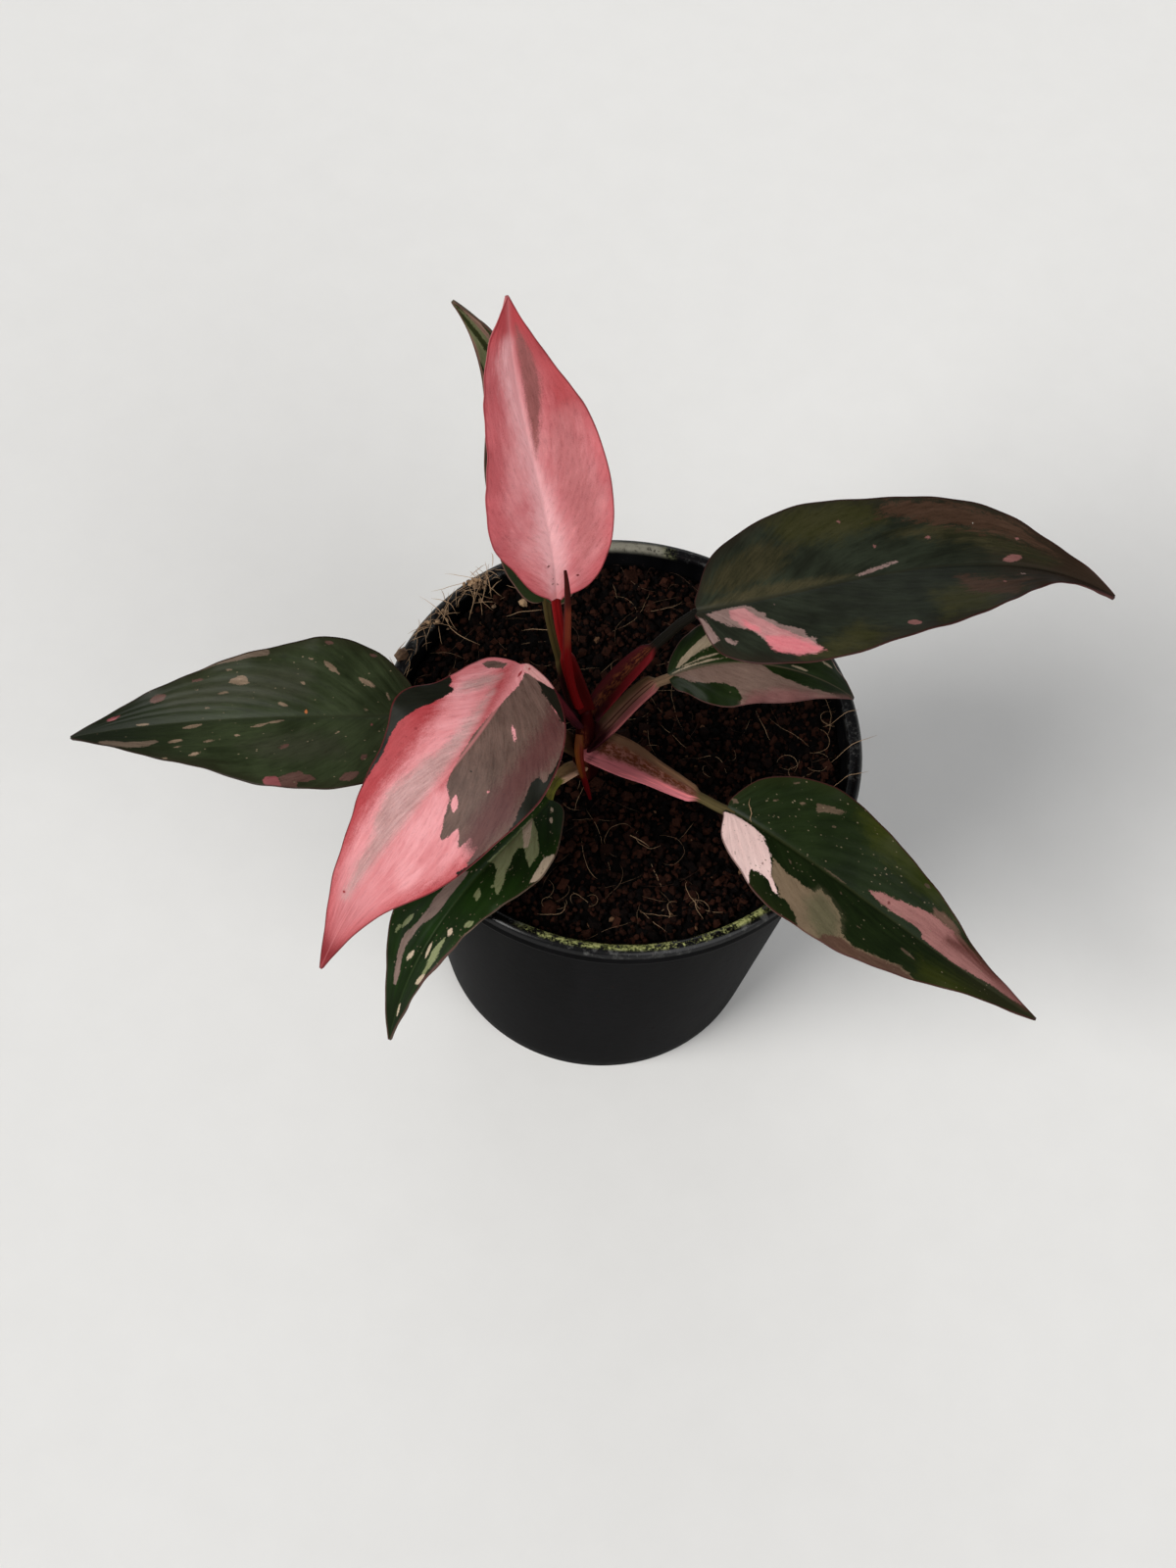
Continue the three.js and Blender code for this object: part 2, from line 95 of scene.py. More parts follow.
UPRIGHT_PINK = dict(
    name="upright_pink", slots=("pink_leaf", "red_stalk"),
    midrib=[[-20, -2, 178], [-22, 3, 207], [-35, 9, 240], [-36, 13, 270]], face=[-0.15, -1, 0.3],
    roll=[24, 36], fold=[16, 14], droop=0.05, lobe=0.3, sweep=0.1,
    left=[2.5, 6.5, 10.5, 15, 13.5, 10, 7.5], right=[2.5, 9, 13.5, 16.5, 17, 14.5, 7.5],
    petiole=[[-10, -8, 138], [-14.2, -7, 151], [-18.8, -4, 164], [-20, -2, 177.6]],
    sheath=[2.4, 2.6, 2.4, 1.9, 1.5, 1.3, 1.2], cup=0.9, opening=[0.3, -1, 0.2],
    tissue=dict(
        base=((0.48, 0.13, 0.143), (0.6, 0.24, 0.25)), far=(0.38, 0.056, 0.064), far_from=0.62,
        margin=(0.17, 0.018, 0.024), midrib=(0.72, 0.38, 0.39), midrib_width=2.6, rib=0.3, sunk=0.35,
        rim_tint=(0.42, 0.075, 0.085), under=(0.5, 0.2, 0.2), flecks=0.0, mottle=0.42, relief=0.35,
        gloss=0.42, glow=0.1,
    ),
    # Painted highlight and painted shade: the stalk's red is lighter on its left side and darker on its
    # right, as light falls on it.
    stalk=dict(
        root=(0.03, 0.001, 0.001), rooted=0.45, left=(0.105, 0.002, 0.0024),
        middle=(0.066, 0.001, 0.0012), right=(0.044, 0.0008, 0.001), tip=(0.12, 0.003, 0.0036), scurf=0.0,
        stripes=0.25, groove=0.35, ends=0.52,
    ),
    layers=[
        marks((0.4, 0.078, 0.088), (0.46, 0.112, 0.124), soft=6.0, ragged=2.6, patches=[
            [(-2, -2), (10, -6), (22, -9.5), (35, -9.5), (50, -6.5), (62, -4.5), (75, -3.6), (88, -1.5),
             (96, 0), (80, -14), (30, -20), (5, -14)],
            [(-1, 3), (6, 7), (14, 11), (24, 14.5), (20, 21), (3, 13)],
        ]),
        marks((0.33, 0.046, 0.051), (0.37, 0.066, 0.072), soft=10.0, ragged=2.2, patches=[
            [(46, 8.5), (60, 5.8), (72, 5.6), (84, 2.6), (92, 0.5), (96, 0), (80, 12), (62, 15), (54, 11)],
            [(84, -3), (90, 0), (97, 0), (96, 4), (84, 8), (78, 6), (86, 1.6)],
        ]),
        marks((0.6, 0.275, 0.288), (0.68, 0.355, 0.368), soft=4.5, ragged=3.0, patches=[
            [(3, -1.5), (15, -3), (30, -2.8), (45, -2.2), (60, -2.8), (72, -3.6), (79, -3.4), (83, -1.8),
             (84, -0.9), (82, 0.2), (78, 0.0), (66, 0.3), (55, 0.6), (45, 1), (30, 3.2), (15, 3.6),
             (5, 1.5)],
        ]),
        marks((0.34, 0.042, 0.048), (0.4, 0.06, 0.068), soft=6.0, ragged=2.0, patches=[
            [(82, -8), (85, -4.5), (86, 0), (85, 3.5), (82, 7), (97, 5), (101, 0), (97, -5)],
        ]),
        # Painted shade: a darker coral patch over the right half of the blade, the side turned away from the
        # light.
        marks((0.36, 0.104, 0.109), (0.44, 0.15, 0.155), soft=7.0, ragged=2.6, patches=[
            [(10, 6), (25, 5), (40, 4), (52, 4), (58, 7), (60, 10), (48, 13), (34, 14), (18, 13)],
        ]),
        marks((0.19, 0.06, 0.057), (0.27, 0.092, 0.088), soft=1.6, ragged=1.6, patches=[
            [(46, 0.8), (56, 3.2), (63, 4.8), (70, 5.4), (77, 4.6), (82, 3.2), (87, 1.5), (80, 1.2),
             (68, 1.5), (57, 1.0)],
        ]),
        marks((0.11, 0.006, 0.008), (0.11, 0.006, 0.008), soft=0.35, ragged=0.3, strokes=[
            ((5, 0.2), (5, 0.6), 0.9), ((5.3, -0.8), (5.6, -0.8), 0.8), ((7, -0.6), (7.3, -0.6), 0.8),
            ((11.8, -1.5), (12.3, -1.5), 1.1), ((7.7, 5.5), (8.1, 5.6), 0.9),
        ]),
    ],
)

RIGHT_DARK = dict(
    name="right_dark", slots=("dark_leaf", "red_stalk"),
    midrib=[[15, 7, 166], [48, 9, 178], [88, 36, 176], [122, 29, 160]], face=[0, -0.1, 1],
    roll=[0, -8], fold=[6, 24], droop=0.03, lobe=0.3, sweep=0.4,
    left=[5.5, 14.5, 20, 22.5, 20, 17, 8], right=[4, 14.5, 20.5, 22.5, 21, 16.5, 5.5],
    petiole=[[-8, -7, 134], [-3, -3, 147], [7, 4, 155], [14.7, 7, 165.7]],
    sheath=[2.6, 3.4, 3.4, 2.8, 1.8, 1.5, 1.3], cup=1.6, opening=[-0.4, -0.6, 1],
    tissue=dict(
        base=((0.0085, 0.01, 0.006), SLATE_GREEN), far=(0.026, 0.014, 0.008), far_from=0.58,
        margin=(0.034, 0.008, 0.008), midrib=(0.022, 0.021, 0.012), midrib_width=0.8,
        rim_tint=(0.018, 0.013, 0.008), under=(0.12, 0.05, 0.042), flecks=0.1, mottle=0.45, relief=0.3,
        gloss=0.36, glow=0.0,
    ),
    stalk=dict(
        root=WINE_DARK, left=(0.036, 0.004, 0.005), middle=(0.02, 0.0022, 0.003),
        right=(0.09, 0.0045, 0.0065), tip=(0.0036, 0.003, 0.0018), scurf=0.9, stripes=0.6, groove=0.55,
        ends=0.6,
    ),
    layers=[
        marks(MOSS_GREEN, (0.036, 0.034, 0.014), soft=6.0, ragged=5.0, patches=[
            [(26, -13), (40, -11), (52, -14), (48, -20), (32, -22), (22, -20)],
            [(58, 9), (76, 6), (84, 9), (70, 16), (58, 18)], [(22, 20), (38, 14), (44, 20), (30, 23)],
        ]),
        marks((0.013, 0.014, 0.006), (0.04, 0.034, 0.016), soft=4.0, ragged=4.5, patches=[
            [(2, -5), (8, -11), (18, -15), (28, -12), (22, -6), (10, -3.5)],
            [(52, -10), (66, -6.5), (80, -3.4), (92, -1.2), (96, -3), (80, -8), (64, -12)],
        ]),
        marks((0.022, 0.022, 0.011), (0.05, 0.042, 0.021), soft=2.0, ragged=2.2, patches=[
            [(1, -0.4), (6, -2.2), (14, -3.4), (24, -3.2), (34, -2.0), (42, -1.0), (32, -0.2), (14, -0.1)],
        ]),
        marks(RED_BROWN, (0.062, 0.034, 0.022), soft=2.2, ragged=6.0, patches=[
            [(50, -16), (60, -12.6), (70, -9.8), (84, -7), (96, -4), (84, -11), (70, -17), (56, -19)],
            [(66, 4), (76, 6), (86, 5), (80, 12), (68, 11)],
        ]),
        marks((0.07, 0.036, 0.028), (0.098, 0.05, 0.042), soft=0.6, ragged=0.8, patches=[
            [(76, 15.6), (86, 10.8), (96, 5.6), (108, 1.5), (100, 7), (84, 16)],
        ]),
        marks(GREY_PINK, (0.235, 0.16, 0.145), soft=0.25, ragged=1.4, patches=[
            [(2.5, 1.6), (7, 0.8), (12, 0.9), (14, 1.8), (15, 3.5), (17, 4.5), (16.5, 6), (19, 8.2),
             (22, 10), (24.5, 12), (25, 14.5), (27, 15.5), (26.5, 17.5), (28, 19.3), (25, 19.5),
             (20, 17.5), (17, 16), (16, 13.5), (14, 10.5), (12.5, 8.5), (9, 6.8), (5, 4.2)],
            [(0.3, 2), (1.5, 2.8), (3.2, 5), (4.5, 8), (5.2, 10), (3.5, 10.5), (2, 7.5), (0.7, 4.5)],
            [(6.5, 9.6), (7.6, 9.9), (8.3, 10.8), (9.5, 11.3), (9.1, 12.3), (8.0, 11.7), (6.9, 10.8)],
        ], strokes=[
            ((41, -0.7), (52.5, -2.7), 1.0), ((19.2, 2.2), (19.6, 2.4), 0.8),
            ((84.3, 3.3), (85.3, 3.2), 0.9),
        ]),
        marks((0.38, 0.155, 0.158), (0.48, 0.23, 0.225), soft=0.5, ragged=1.2, patches=[
            [(8, 1.6), (12, 1.7), (14, 4), (16, 6.5), (19, 9.4), (22, 12.4), (25.5, 15.6), (28.4, 19.5),
             (22, 18.6), (17, 16), (15.6, 12.4), (13.2, 9), (10.4, 6.4), (8.4, 4)],
        ]),
        marks(HOT_PINK, (0.56, 0.19, 0.205), soft=1.2, ragged=1.4, patches=[
            [(15.5, 11), (19, 12), (23.5, 15), (28.4, 19.5), (22, 19), (17.5, 16.8), (16, 14)],
            [(11, 5), (14, 7.4), (15, 10), (12.4, 8.4)],
        ]),
        marks((0.135, 0.06, 0.05), (0.22, 0.094, 0.088), soft=0.3, ragged=0.9, strokes=[
            ((80.5, -1.2), (85.5, -2.4), 1.9), ((48.8, 17.3), (51.8, 18.3), 1.7),
            ((47.2, -7.5), (48, -7.5), 1.1), ((61, -7.8), (62.2, -7.7), 0.9),
            ((39.8, -16), (40.6, -15.8), 1.3), ((84, -7.1), (85, -7.1), 0.9), ((78, 7), (78.6, 7.2), 1.2),
            ((45.6, -14.2), (46, -14.2), 0.7),
        ]),
        marks((0.78, 0.74, 0.66), (0.8, 0.76, 0.7), soft=0.2, ragged=0.2, strokes=[
            ((73.2, -11), (73.6, -10.9), 1.2),
        ]),
    ],
)

FRONT_PINK = dict(
    name="front_pink", slots=("pink_leaf", "red_stalk"),
    midrib=[[-27, -18, 172], [-34, -49, 176], [-56, -57, 154], [-70, -76, 110]], face=[-0.3, -0.5, 1],
    roll=[0, 0], fold=[8, 11], droop=0.08, lobe=0.2, sweep=0.2,
    left=[4.8, 12.2, 19.8, 23, 21, 17, 7.5], right=[8, 11.5, 15.5, 22, 18, 14, 8],
    petiole=[[-12, -9, 132], [-18, -10, 144], [-20, -13.5, 158], [-26.4, -17.6, 170.6]],
    sheath=[2.6, 2.6, 2.2, 1.7, 1.5, 1.4, 1.3], cup=0.9, opening=[0.6, 0.5, 1],
    tissue=dict(
        base=((0.49, 0.16, 0.17), (0.61, 0.272, 0.285)), far=(0.25, 0.025, 0.03), far_from=0.72,
        margin=(0.09, 0.012, 0.014), midrib=(0.5, 0.17, 0.175), midrib_width=0.8,
        rim_tint=(0.43, 0.098, 0.106), under=(0.48, 0.19, 0.19), flecks=0.0, mottle=0.35, relief=0.3,
        gloss=0.42, glow=0.08,
    ),
    stalk=dict(
        root=WINE_DARK, left=WINE, middle=WINE_DARK, right=WINE_DARK, tip=(0.026, 0.0025, 0.0032),
        scurf=0.3, stripes=0.3, groove=0.5, ends=0.6,
    ),
    layers=[
        marks((0.27, 0.027, 0.032), (0.34, 0.05, 0.057), soft=5.5, ragged=3.0, patches=[
            [(12, 13), (27, 11), (38, 10), (50, 10), (60, 9.8), (74, 8.6), (86, 5.5), (98, 1.5), (102, 0),
             (98, 9), (60, 19), (40, 22), (15, 18)],
            [(46, -18.6), (52, -16.6), (60, -13.4), (70, -10), (80, -6.8), (92, -3), (102, 0), (98, -9),
             (60, -22), (45, -26)],
            [(0, 1.6), (10, 0.8), (24, 0), (38, -0.8), (24, 1.6), (12, 3), (4, 4)],
        ]),
        marks((0.135, 0.012, 0.015), (0.19, 0.022, 0.026), soft=9.0, ragged=3.0, patches=[
            [(90, -6), (103, -3), (103, 3), (90, 6), (94, 0)],
        ]),
        marks((0.3, 0.158, 0.15), (0.46, 0.275, 0.268), soft=3.0, ragged=2.6, patches=[
            [(10, 3), (25, 1.6), (45, 0.8), (60, 1.0), (79, 2), (80, 3.2), (70, 4.4), (59, 5.2),
             (56, 7.6), (48, 8.8), (40, 7.5), (28, 4.8), (15, 4)],
            [(5, 3), (9, 4), (13, 7.6), (15.5, 10.8), (11, 9.8), (7, 6.2)],
        ]),
        marks((0.06, 0.036, 0.028), (0.128, 0.079, 0.064), soft=0.3, ragged=1.1, patches=[
            [(2.6, -2.0), (2.9, -5), (4.4, -8.4), (8, -11.5), (11, -17), (13, -22), (22, -24), (28, -24),
             (34, -23.5), (40, -22), (48.5, -19.8), (45.5, -18.4), (41.5, -18), (41, -15.2),
             (45.5, -14.6), (43, -12.7), (41.7, -11.2), (47, -10), (46.4, -8.8), (42, -6.5), (38, -4.4),
             (36.5, -1.6), (34, -0.6), (28, 0.6), (22, 0.9), (16, 0.4), (11, -0.8), (7, -2.0),
             (4.5, -2.3)],
            [(1.2, 3), (3, 3.5), (4.6, 7), (3.8, 8.8), (2, 8), (1, 5)],
        ], bare=[
            ((16.3, -5.9), (18.8, -8.9), 1.0), ((36.8, -5.4), (39.4, -7.3), 2.0),
            ((30.4, -10.6), (31.2, -11.6), 0.5), ((35.8, -15.2), (36.6, -16), 0.6),
        ]),
        marks(MAUVE, (0.092, 0.038, 0.034), soft=5.0, ragged=3.0, patches=[
            [(8, -12), (14, -12.6), (22, -12.4), (31, -12.4), (42, -13), (45, -19), (32, -20.5),
             (26, -18.6), (22, -18.6), (19, -20), (13, -19.6), (10.5, -16.5)],
        ]),
        marks((0.004, 0.0045, 0.0026), (0.008, 0.009, 0.005), soft=0.25, ragged=0.9, patches=[
            [(4, -6), (6.5, -8.5), (9, -12.5), (11, -16), (11.5, -18.6), (14.5, -20.2), (20, -21.3),
             (22.5, -21.2), (22.5, -19), (24, -18.6), (26, -19.2), (29, -20), (33, -21.6), (37, -22.6),
             (30, -26), (12, -25), (2, -16), (3.6, -10)],
            # Painted shade: this patch carries the black-green on along the left margin as a dark band of
            # shade at the blade's edge.
            [(30, -21.8), (36, -21.6), (42, -20.2), (47, -18.9), (50, -17.8), (51, -19.5), (44, -23),
             (34, -25)],
            [(12, 14.4), (13.5, 13), (15, 13.2), (15, 11.3), (19, 12.3), (23, 14.5), (28, 16.5),
             (33, 17.7), (36, 17.5), (39, 16.4), (44, 15.7), (50, 15), (57, 14), (54, 17), (40, 21),
             (30, 25), (24, 25), (14, 19)],
        ], strokes=[
            ((29.8, -4), (30.2, -4.6), 0.8),
        ]),
        marks((0.38, 0.16, 0.146), (0.6, 0.32, 0.31), soft=0.25, ragged=0.6, patches=[
            [(-2, -1.2), (1.6, -1.2), (2.9, -3.4), (3.8, -5.8), (4.5, -8.3), (5.0, -10.8), (2.6, -11.6),
             (-2, -7)],
        ]),
        marks((0.22, 0.02, 0.025), (0.22, 0.02, 0.025), soft=0.35, ragged=0.3, strokes=[
            ((30.2, 13), (31, 13.2), 1.0), ((33.7, 13.9), (34.2, 13.9), 0.8),
            ((41.8, 14.3), (42.4, 14.3), 0.8), ((69.5, -7.5), (70.3, -7.6), 1.0),
            ((77.6, 3.6), (78.4, 3.6), 0.8), ((79.3, -2.8), (79.8, -2.8), 0.8),
            ((2.2, -1.2), (4.2, -0.9), 0.7), ((1.0, -2.7), (1.6, -2.9), 0.6),
        ]),
    ],
)

BACK = dict(
    name="back", slots=("green_leaf", "olive_stalk"),
    midrib=[[-23, 5, 166], [-26, 14, 190], [-25, 31, 222], [-50, 31, 245]], face=[-0.1, -1, 0.45],
    roll=[2, 6], fold=[14, 14], droop=0.05, lobe=0.3, sweep=0.15,
    left=[4.5, 7.5, 11, 12.5, 13.5, 10.5, 6], right=[5, 8, 11.5, 13.5, 13.5, 10, 2.5],
    petiole=[[-12, -5, 130], [-17, -1, 143], [-20.8, 3, 154], [-22.9, 4.8, 165.6]],
    sheath=[2.2, 2.2, 1.8, 1.3, 1.1, 1.0, 1.1], cup=0.6, opening=[0.6, -1, 0.5],
    tissue=dict(
        base=(LEAF_GREEN, FRESH_GREEN), far=(0.024, 0.03, 0.009), far_from=0.6,
        margin=(0.12, 0.06, 0.048), midrib=(0.018, 0.028, 0.007), midrib_width=0.8, rim_tint=OLIVE_GREEN,
        under=(0.085, 0.085, 0.045), flecks=0.35, mottle=0.4, relief=0.45, gloss=0.38, glow=0.0,
    ),
    stalk=dict(
        # Painted shade: the root colour makes the lower half of this stalk near-black red, as in the shade of
        # the crown.
        root=(0.012, 0.002, 0.002), left=(0.05, 0.036, 0.013), middle=(0.038, 0.028, 0.01),
        right=(0.032, 0.022, 0.008), tip=(0.036, 0.025, 0.008), scurf=0.2, stripes=0.3, groove=0.5,
        ends=0.45, rooted=0.5,
    ),
    layers=[
        marks((0.096, 0.106, 0.048), (0.14, 0.15, 0.076), soft=0.3, ragged=1.2, patches=[
            [(34, -0.4), (50, -2.4), (62, -5), (72, -5.6), (80, -3.8), (88, -1.2), (80, -2.4), (70, -3.0),
             (62, -2.0), (50, -0.6)],
            [(60, 0), (72, -1.6), (82, -1.1), (90, -0.2), (80, -0.2), (70, 0)],
            [(20, 3), (34, 5.5), (48, 8.6), (60, 9.6), (54, 11.5), (40, 12.5), (27, 9.5)],
            [(8, -3), (18, -6.6), (26, -9.6), (22, -10.6), (13, -8), (7, -5.4)],
        ]),
        marks(TAN, (0.24, 0.125, 0.105), soft=0.3, ragged=0.9, patches=[
            [(76, -0.6), (82, -0.4), (88.5, 0.1), (82, 0.7), (77, 0.2)],
            [(56, -8.4), (66, -7.3), (75, -4.4), (84, -2.3), (89, -0.5), (83, -5), (72, -9), (60, -11)],
            [(30, 8.5), (40, 11), (50, 12), (44, 14.5), (33, 12.5)],
        ]),
    ],
)

RIGHT_SMALL = dict(
    name="right_small", slots=("green_leaf", "pink_stalk"),
    midrib=[[10, -2, 148], [22, 1, 157], [43, 4, 154], [59, 5, 136]], face=[0, -0.1, 1],
    roll=[5, 12], fold=[1, 4], droop=0.14, lobe=0, sweep=0.3,
    left=[3.5, 7, 11, 12, 10.5, 8, 7], right=[4, 6, 9.5, 11.5, 10.5, 9, 5],
    petiole=[[-8, -10, 124], [-3, -10, 132], [3, -2, 141], [9.7, -2.2, 147.8]],
    sheath=[3, 3.2, 3.4, 3.3, 3.1, 2.6, 1.3], cup=1.5, opening=[-0.5, -0.2, 1],
    tissue=dict(
        base=(LEAF_GREEN, (0.011, 0.021, 0.004)), far=LEAF_GREEN, far_from=0.8,
        margin=(0.075, 0.03, 0.027), midrib=(0.12, 0.086, 0.058), midrib_width=0.6, rim_tint=LEAF_GREEN,
        under=(0.17, 0.115, 0.085), flecks=0.3, mottle=0.35, relief=0.45, gloss=0.38, glow=0.0,
    ),
    stalk=dict(
        root=WINE_DARK, left=(0.062, 0.036, 0.018), middle=(0.19, 0.094, 0.064),
        right=(0.235, 0.07, 0.07), tip=(0.125, 0.078, 0.046), scurf=0.1, stripes=0.9, groove=0.5,
        ends=0.86, rooted=0.36, seams=0.9,
    ),
    layers=[
        marks((0.165, 0.13, 0.084), (0.26, 0.205, 0.142), soft=0.25, ragged=0.7, patches=[
            [(2.5, -1.4), (4.5, -3.5), (7.5, -5.8), (10, -7.4), (13.5, -9.8), (13, -5.6), (8.5, -3.8),
             (5.5, -2.2), (3.5, -1.2)],
        ], strokes=[
            ((1, -0.4), (16, -1.5), 0.5), ((4, -1.1), (15, -3.0), 0.45), ((33, -1.0), (38, -0.8), 0.6),
            ((41.5, -5.0), (46, -4.2), 0.6), ((45.5, -6.4), (53, -2.4), 0.9),
            ((17, -6.0), (18, -6.4), 0.9), ((24, -9.4), (34, -8.0), 1.6), ((30, -5.6), (36, -5.4), 0.8),
        ]),
        marks((0.11, 0.069, 0.054), (0.16, 0.106, 0.084), soft=0.3, ragged=1.0, patches=[
            [(1.5, 0.2), (8, 0.3), (18, 0), (25, 0.2), (28, 2.2), (33, 3.1), (40, 3.4), (47, 2.4),
             (52, 1.6), (55.5, 0.3), (53, 3.0), (45, 7), (36, 10), (28, 13), (20, 14), (18.4, 11.2),
             (19, 8.8), (17.5, 6.5), (14, 5.2), (9, 4.4), (6, 3.6), (4, 2)],
        ]),
        marks((0.135, 0.055, 0.051), (0.185, 0.086, 0.078), soft=3.0, ragged=2.0, patches=[
            [(18.5, 11.5), (21, 8.4), (28, 6.2), (35, 5.0), (44, 4.0), (54, 0.6), (50, 6), (36, 11),
             (24, 14)],
        ]),
    ],
)

LOWER_RIGHT = dict(
    name="lower_right", slots=("green_leaf", "pink_stalk"),
    midrib=[[28, -33, 138], [48, -44, 142], [78, -60, 128], [114, -65, 102]], face=[0.2, -0.2, 1],
    roll=[0, 6], fold=[18, 8], droop=0.04, lobe=0.2, sweep=0.15,
    left=[5, 11.5, 16.5, 19.5, 17.5, 13.5, 6], right=[3, 9.5, 14.5, 18.5, 17.5, 13, 5.5],
    petiole=[[-9, -9.5, 122.5], [3, -16, 130.5], [14.5, -27, 134.5], [27.7, -32.8, 137.8]],
    sheath=[4.4, 5.3, 5.2, 3.9, 2.9, 2.0, 1.3], cup=2.0, opening=[-0.3, -0.4, 1],
    tissue=dict(
        base=(LEAF_GREEN, (0.01, 0.018, 0.004)), far=(0.016, 0.016, 0.004), far_from=0.62,
        margin=(0.055, 0.014, 0.014), midrib=(0.026, 0.029, 0.01), midrib_width=0.8,
        rim_tint=(0.013, 0.018, 0.004), under=(0.13, 0.1, 0.062), flecks=0.95, mottle=0.4, relief=0.4,
        gloss=0.36, glow=0.0,
    ),
    stalk=dict(
        root=(0.16, 0.03, 0.03), left=(0.125, 0.068, 0.038), middle=(0.22, 0.085, 0.064),
        right=(0.56, 0.165, 0.185), rooted=0.12, tip=(0.065, 0.05, 0.02), scurf=1.0, stripes=1.0,
        groove=0.2, ends=0.8,
    ),
    layers=[
        marks(YELLOW_GREEN, (0.026, 0.03, 0.004), soft=5.0, ragged=4.0, patches=[
            [(28, -17), (36, -12), (50, -10.5), (60, -11), (74, -8), (70, -14), (50, -20), (34, -22)],
            [(62, 4), (74, 3), (84, 3.5), (76, 9), (64, 9)],
        ]),
        marks(CREAM, (0.84, 0.62, 0.58), soft=0.25, ragged=1.3, patches=[
            [(0.3, 1.2), (3, 0.4), (8, 0.9), (12, 2), (14.5, 4), (16.5, 6), (17.8, 8), (19, 10.5),
             (21.5, 12.5), (23.5, 14.3), (21, 13.8), (19, 12.3), (17, 12), (14.5, 12), (14, 13.5),
             (15.5, 15.5), (16, 18), (10, 17), (4, 12), (-1, 7), (-0.5, 3)],
        ]),
        marks((0.05, 0.035, 0.021), (0.11, 0.076, 0.05), soft=0.25, ragged=0.9, patches=[
            [(18.4, -12.9), (21, -14), (26.8, -16.1), (24.5, -13.8), (21.5, -12.3), (19.5, -11)],
        ], strokes=[
            ((0.8, -2.3), (0.9, -3.2), 2.0), ((56, 5.2), (61, 5.6), 0.8), ((62.8, 4.2), (63.4, 4.3), 0.8),
            ((28, -0.3), (36, -0.4), 0.5), ((53, -12.6), (55, -12.4), 0.7), ((43, 7.6), (44.4, 7.6), 0.5),
            ((20.5, 3.6), (21.6, 4.2), 0.6), ((35.4, 2.2), (36.2, 2.9), 0.6),
            ((33.6, -16.2), (34.4, -16), 0.6), ((24.6, -10.4), (25.6, -10.8), 0.7),
            ((28.6, -9.8), (29.2, -9.9), 0.6), ((39.5, -8), (40.2, -8.2), 0.5),
            ((11, -14.2), (12.2, -15), 0.5), ((15, -10.5), (16.2, -11.3), 0.5),
            ((9, -7.5), (10, -8.4), 0.5),
        ]),
        marks(TAUPE_PALE, (0.21, 0.15, 0.096), soft=0.3, ragged=1.6, patches=[
            [(17, 6.2), (20, 6.8), (24, 7.3), (27, 7.6), (30, 7.2), (31, 5.2), (34, 5.8), (38, 7.5),
             (39.5, 9.5), (40.5, 12.2), (45, 12.8), (49, 12.2), (51, 11.2), (55, 10.6), (58, 9.8),
             (61, 9.4), (63, 10.4), (60, 13.5), (52, 16), (46, 18), (38, 19.5), (31, 19.5), (29, 16.2),
             (27, 15.2), (25, 14.2), (23.6, 14.4), (21.5, 12.5), (19, 10.3)],
        ]),
        marks((0.1, 0.088, 0.048), (0.135, 0.116, 0.066), soft=4.5, ragged=2.0, patches=[
            [(31, 5.8), (34, 6.4), (38, 8), (39.5, 10), (40, 12.4), (41, 15), (36, 17), (31, 14),
             (29, 10)],
        ]),
        marks((0.078, 0.04, 0.026), (0.115, 0.064, 0.044), soft=0.8, ragged=1.6, patches=[
            [(41, 13), (45, 13), (49, 12.4), (51, 11.4), (55, 10.8), (58, 10), (61, 9.6), (63, 10.6),
             (60, 13.5), (52, 16), (46, 18), (40, 19.3), (36, 19), (37, 15.6)],
            [(58.5, -9), (62, -9.2), (66, -8.6), (70, -6.6), (76, -5.3), (68, -5.4), (60, -6.4)],
        ]),
        marks((0.2, 0.078, 0.072), (0.29, 0.13, 0.117), soft=0.3, ragged=1.4, patches=[
            [(41.5, -2.3), (45, -4.3), (50, -5), (55, -6.5), (59, -7), (66, -6.8), (72, -5.2), (80, -4.2),
             (88, -3.2), (97, -1.4), (92, -0.9), (84, -1.1), (77, -0.6), (72, -0.2), (66, -0.4),
             (60, -0.6), (59.5, -1.9), (56, -2.3), (50, -1.6), (45, -1.7)],
        ]),
        marks((0.078, 0.023, 0.018), (0.105, 0.034, 0.028), soft=3.0, ragged=1.0, patches=[
            [(66, -3.4), (74, -3.4), (82, -2.6), (97, -1), (90, -3.4), (80, -5), (70, -6), (66, -5)],
        ]),
        marks((0.12, 0.034, 0.03), (0.12, 0.034, 0.03), soft=0.5, ragged=0.5, strokes=[
            ((76, 7.6), (97, 1.4), 0.8), ((47.5, -3), (48, -3), 1.0), ((11.4, 3.6), (11.7, 3.6), 0.6),
            ((15.5, 9), (15.8, 9), 0.6), ((30, 12.4), (30.3, 12.4), 0.6),
        ]),
    ],
)

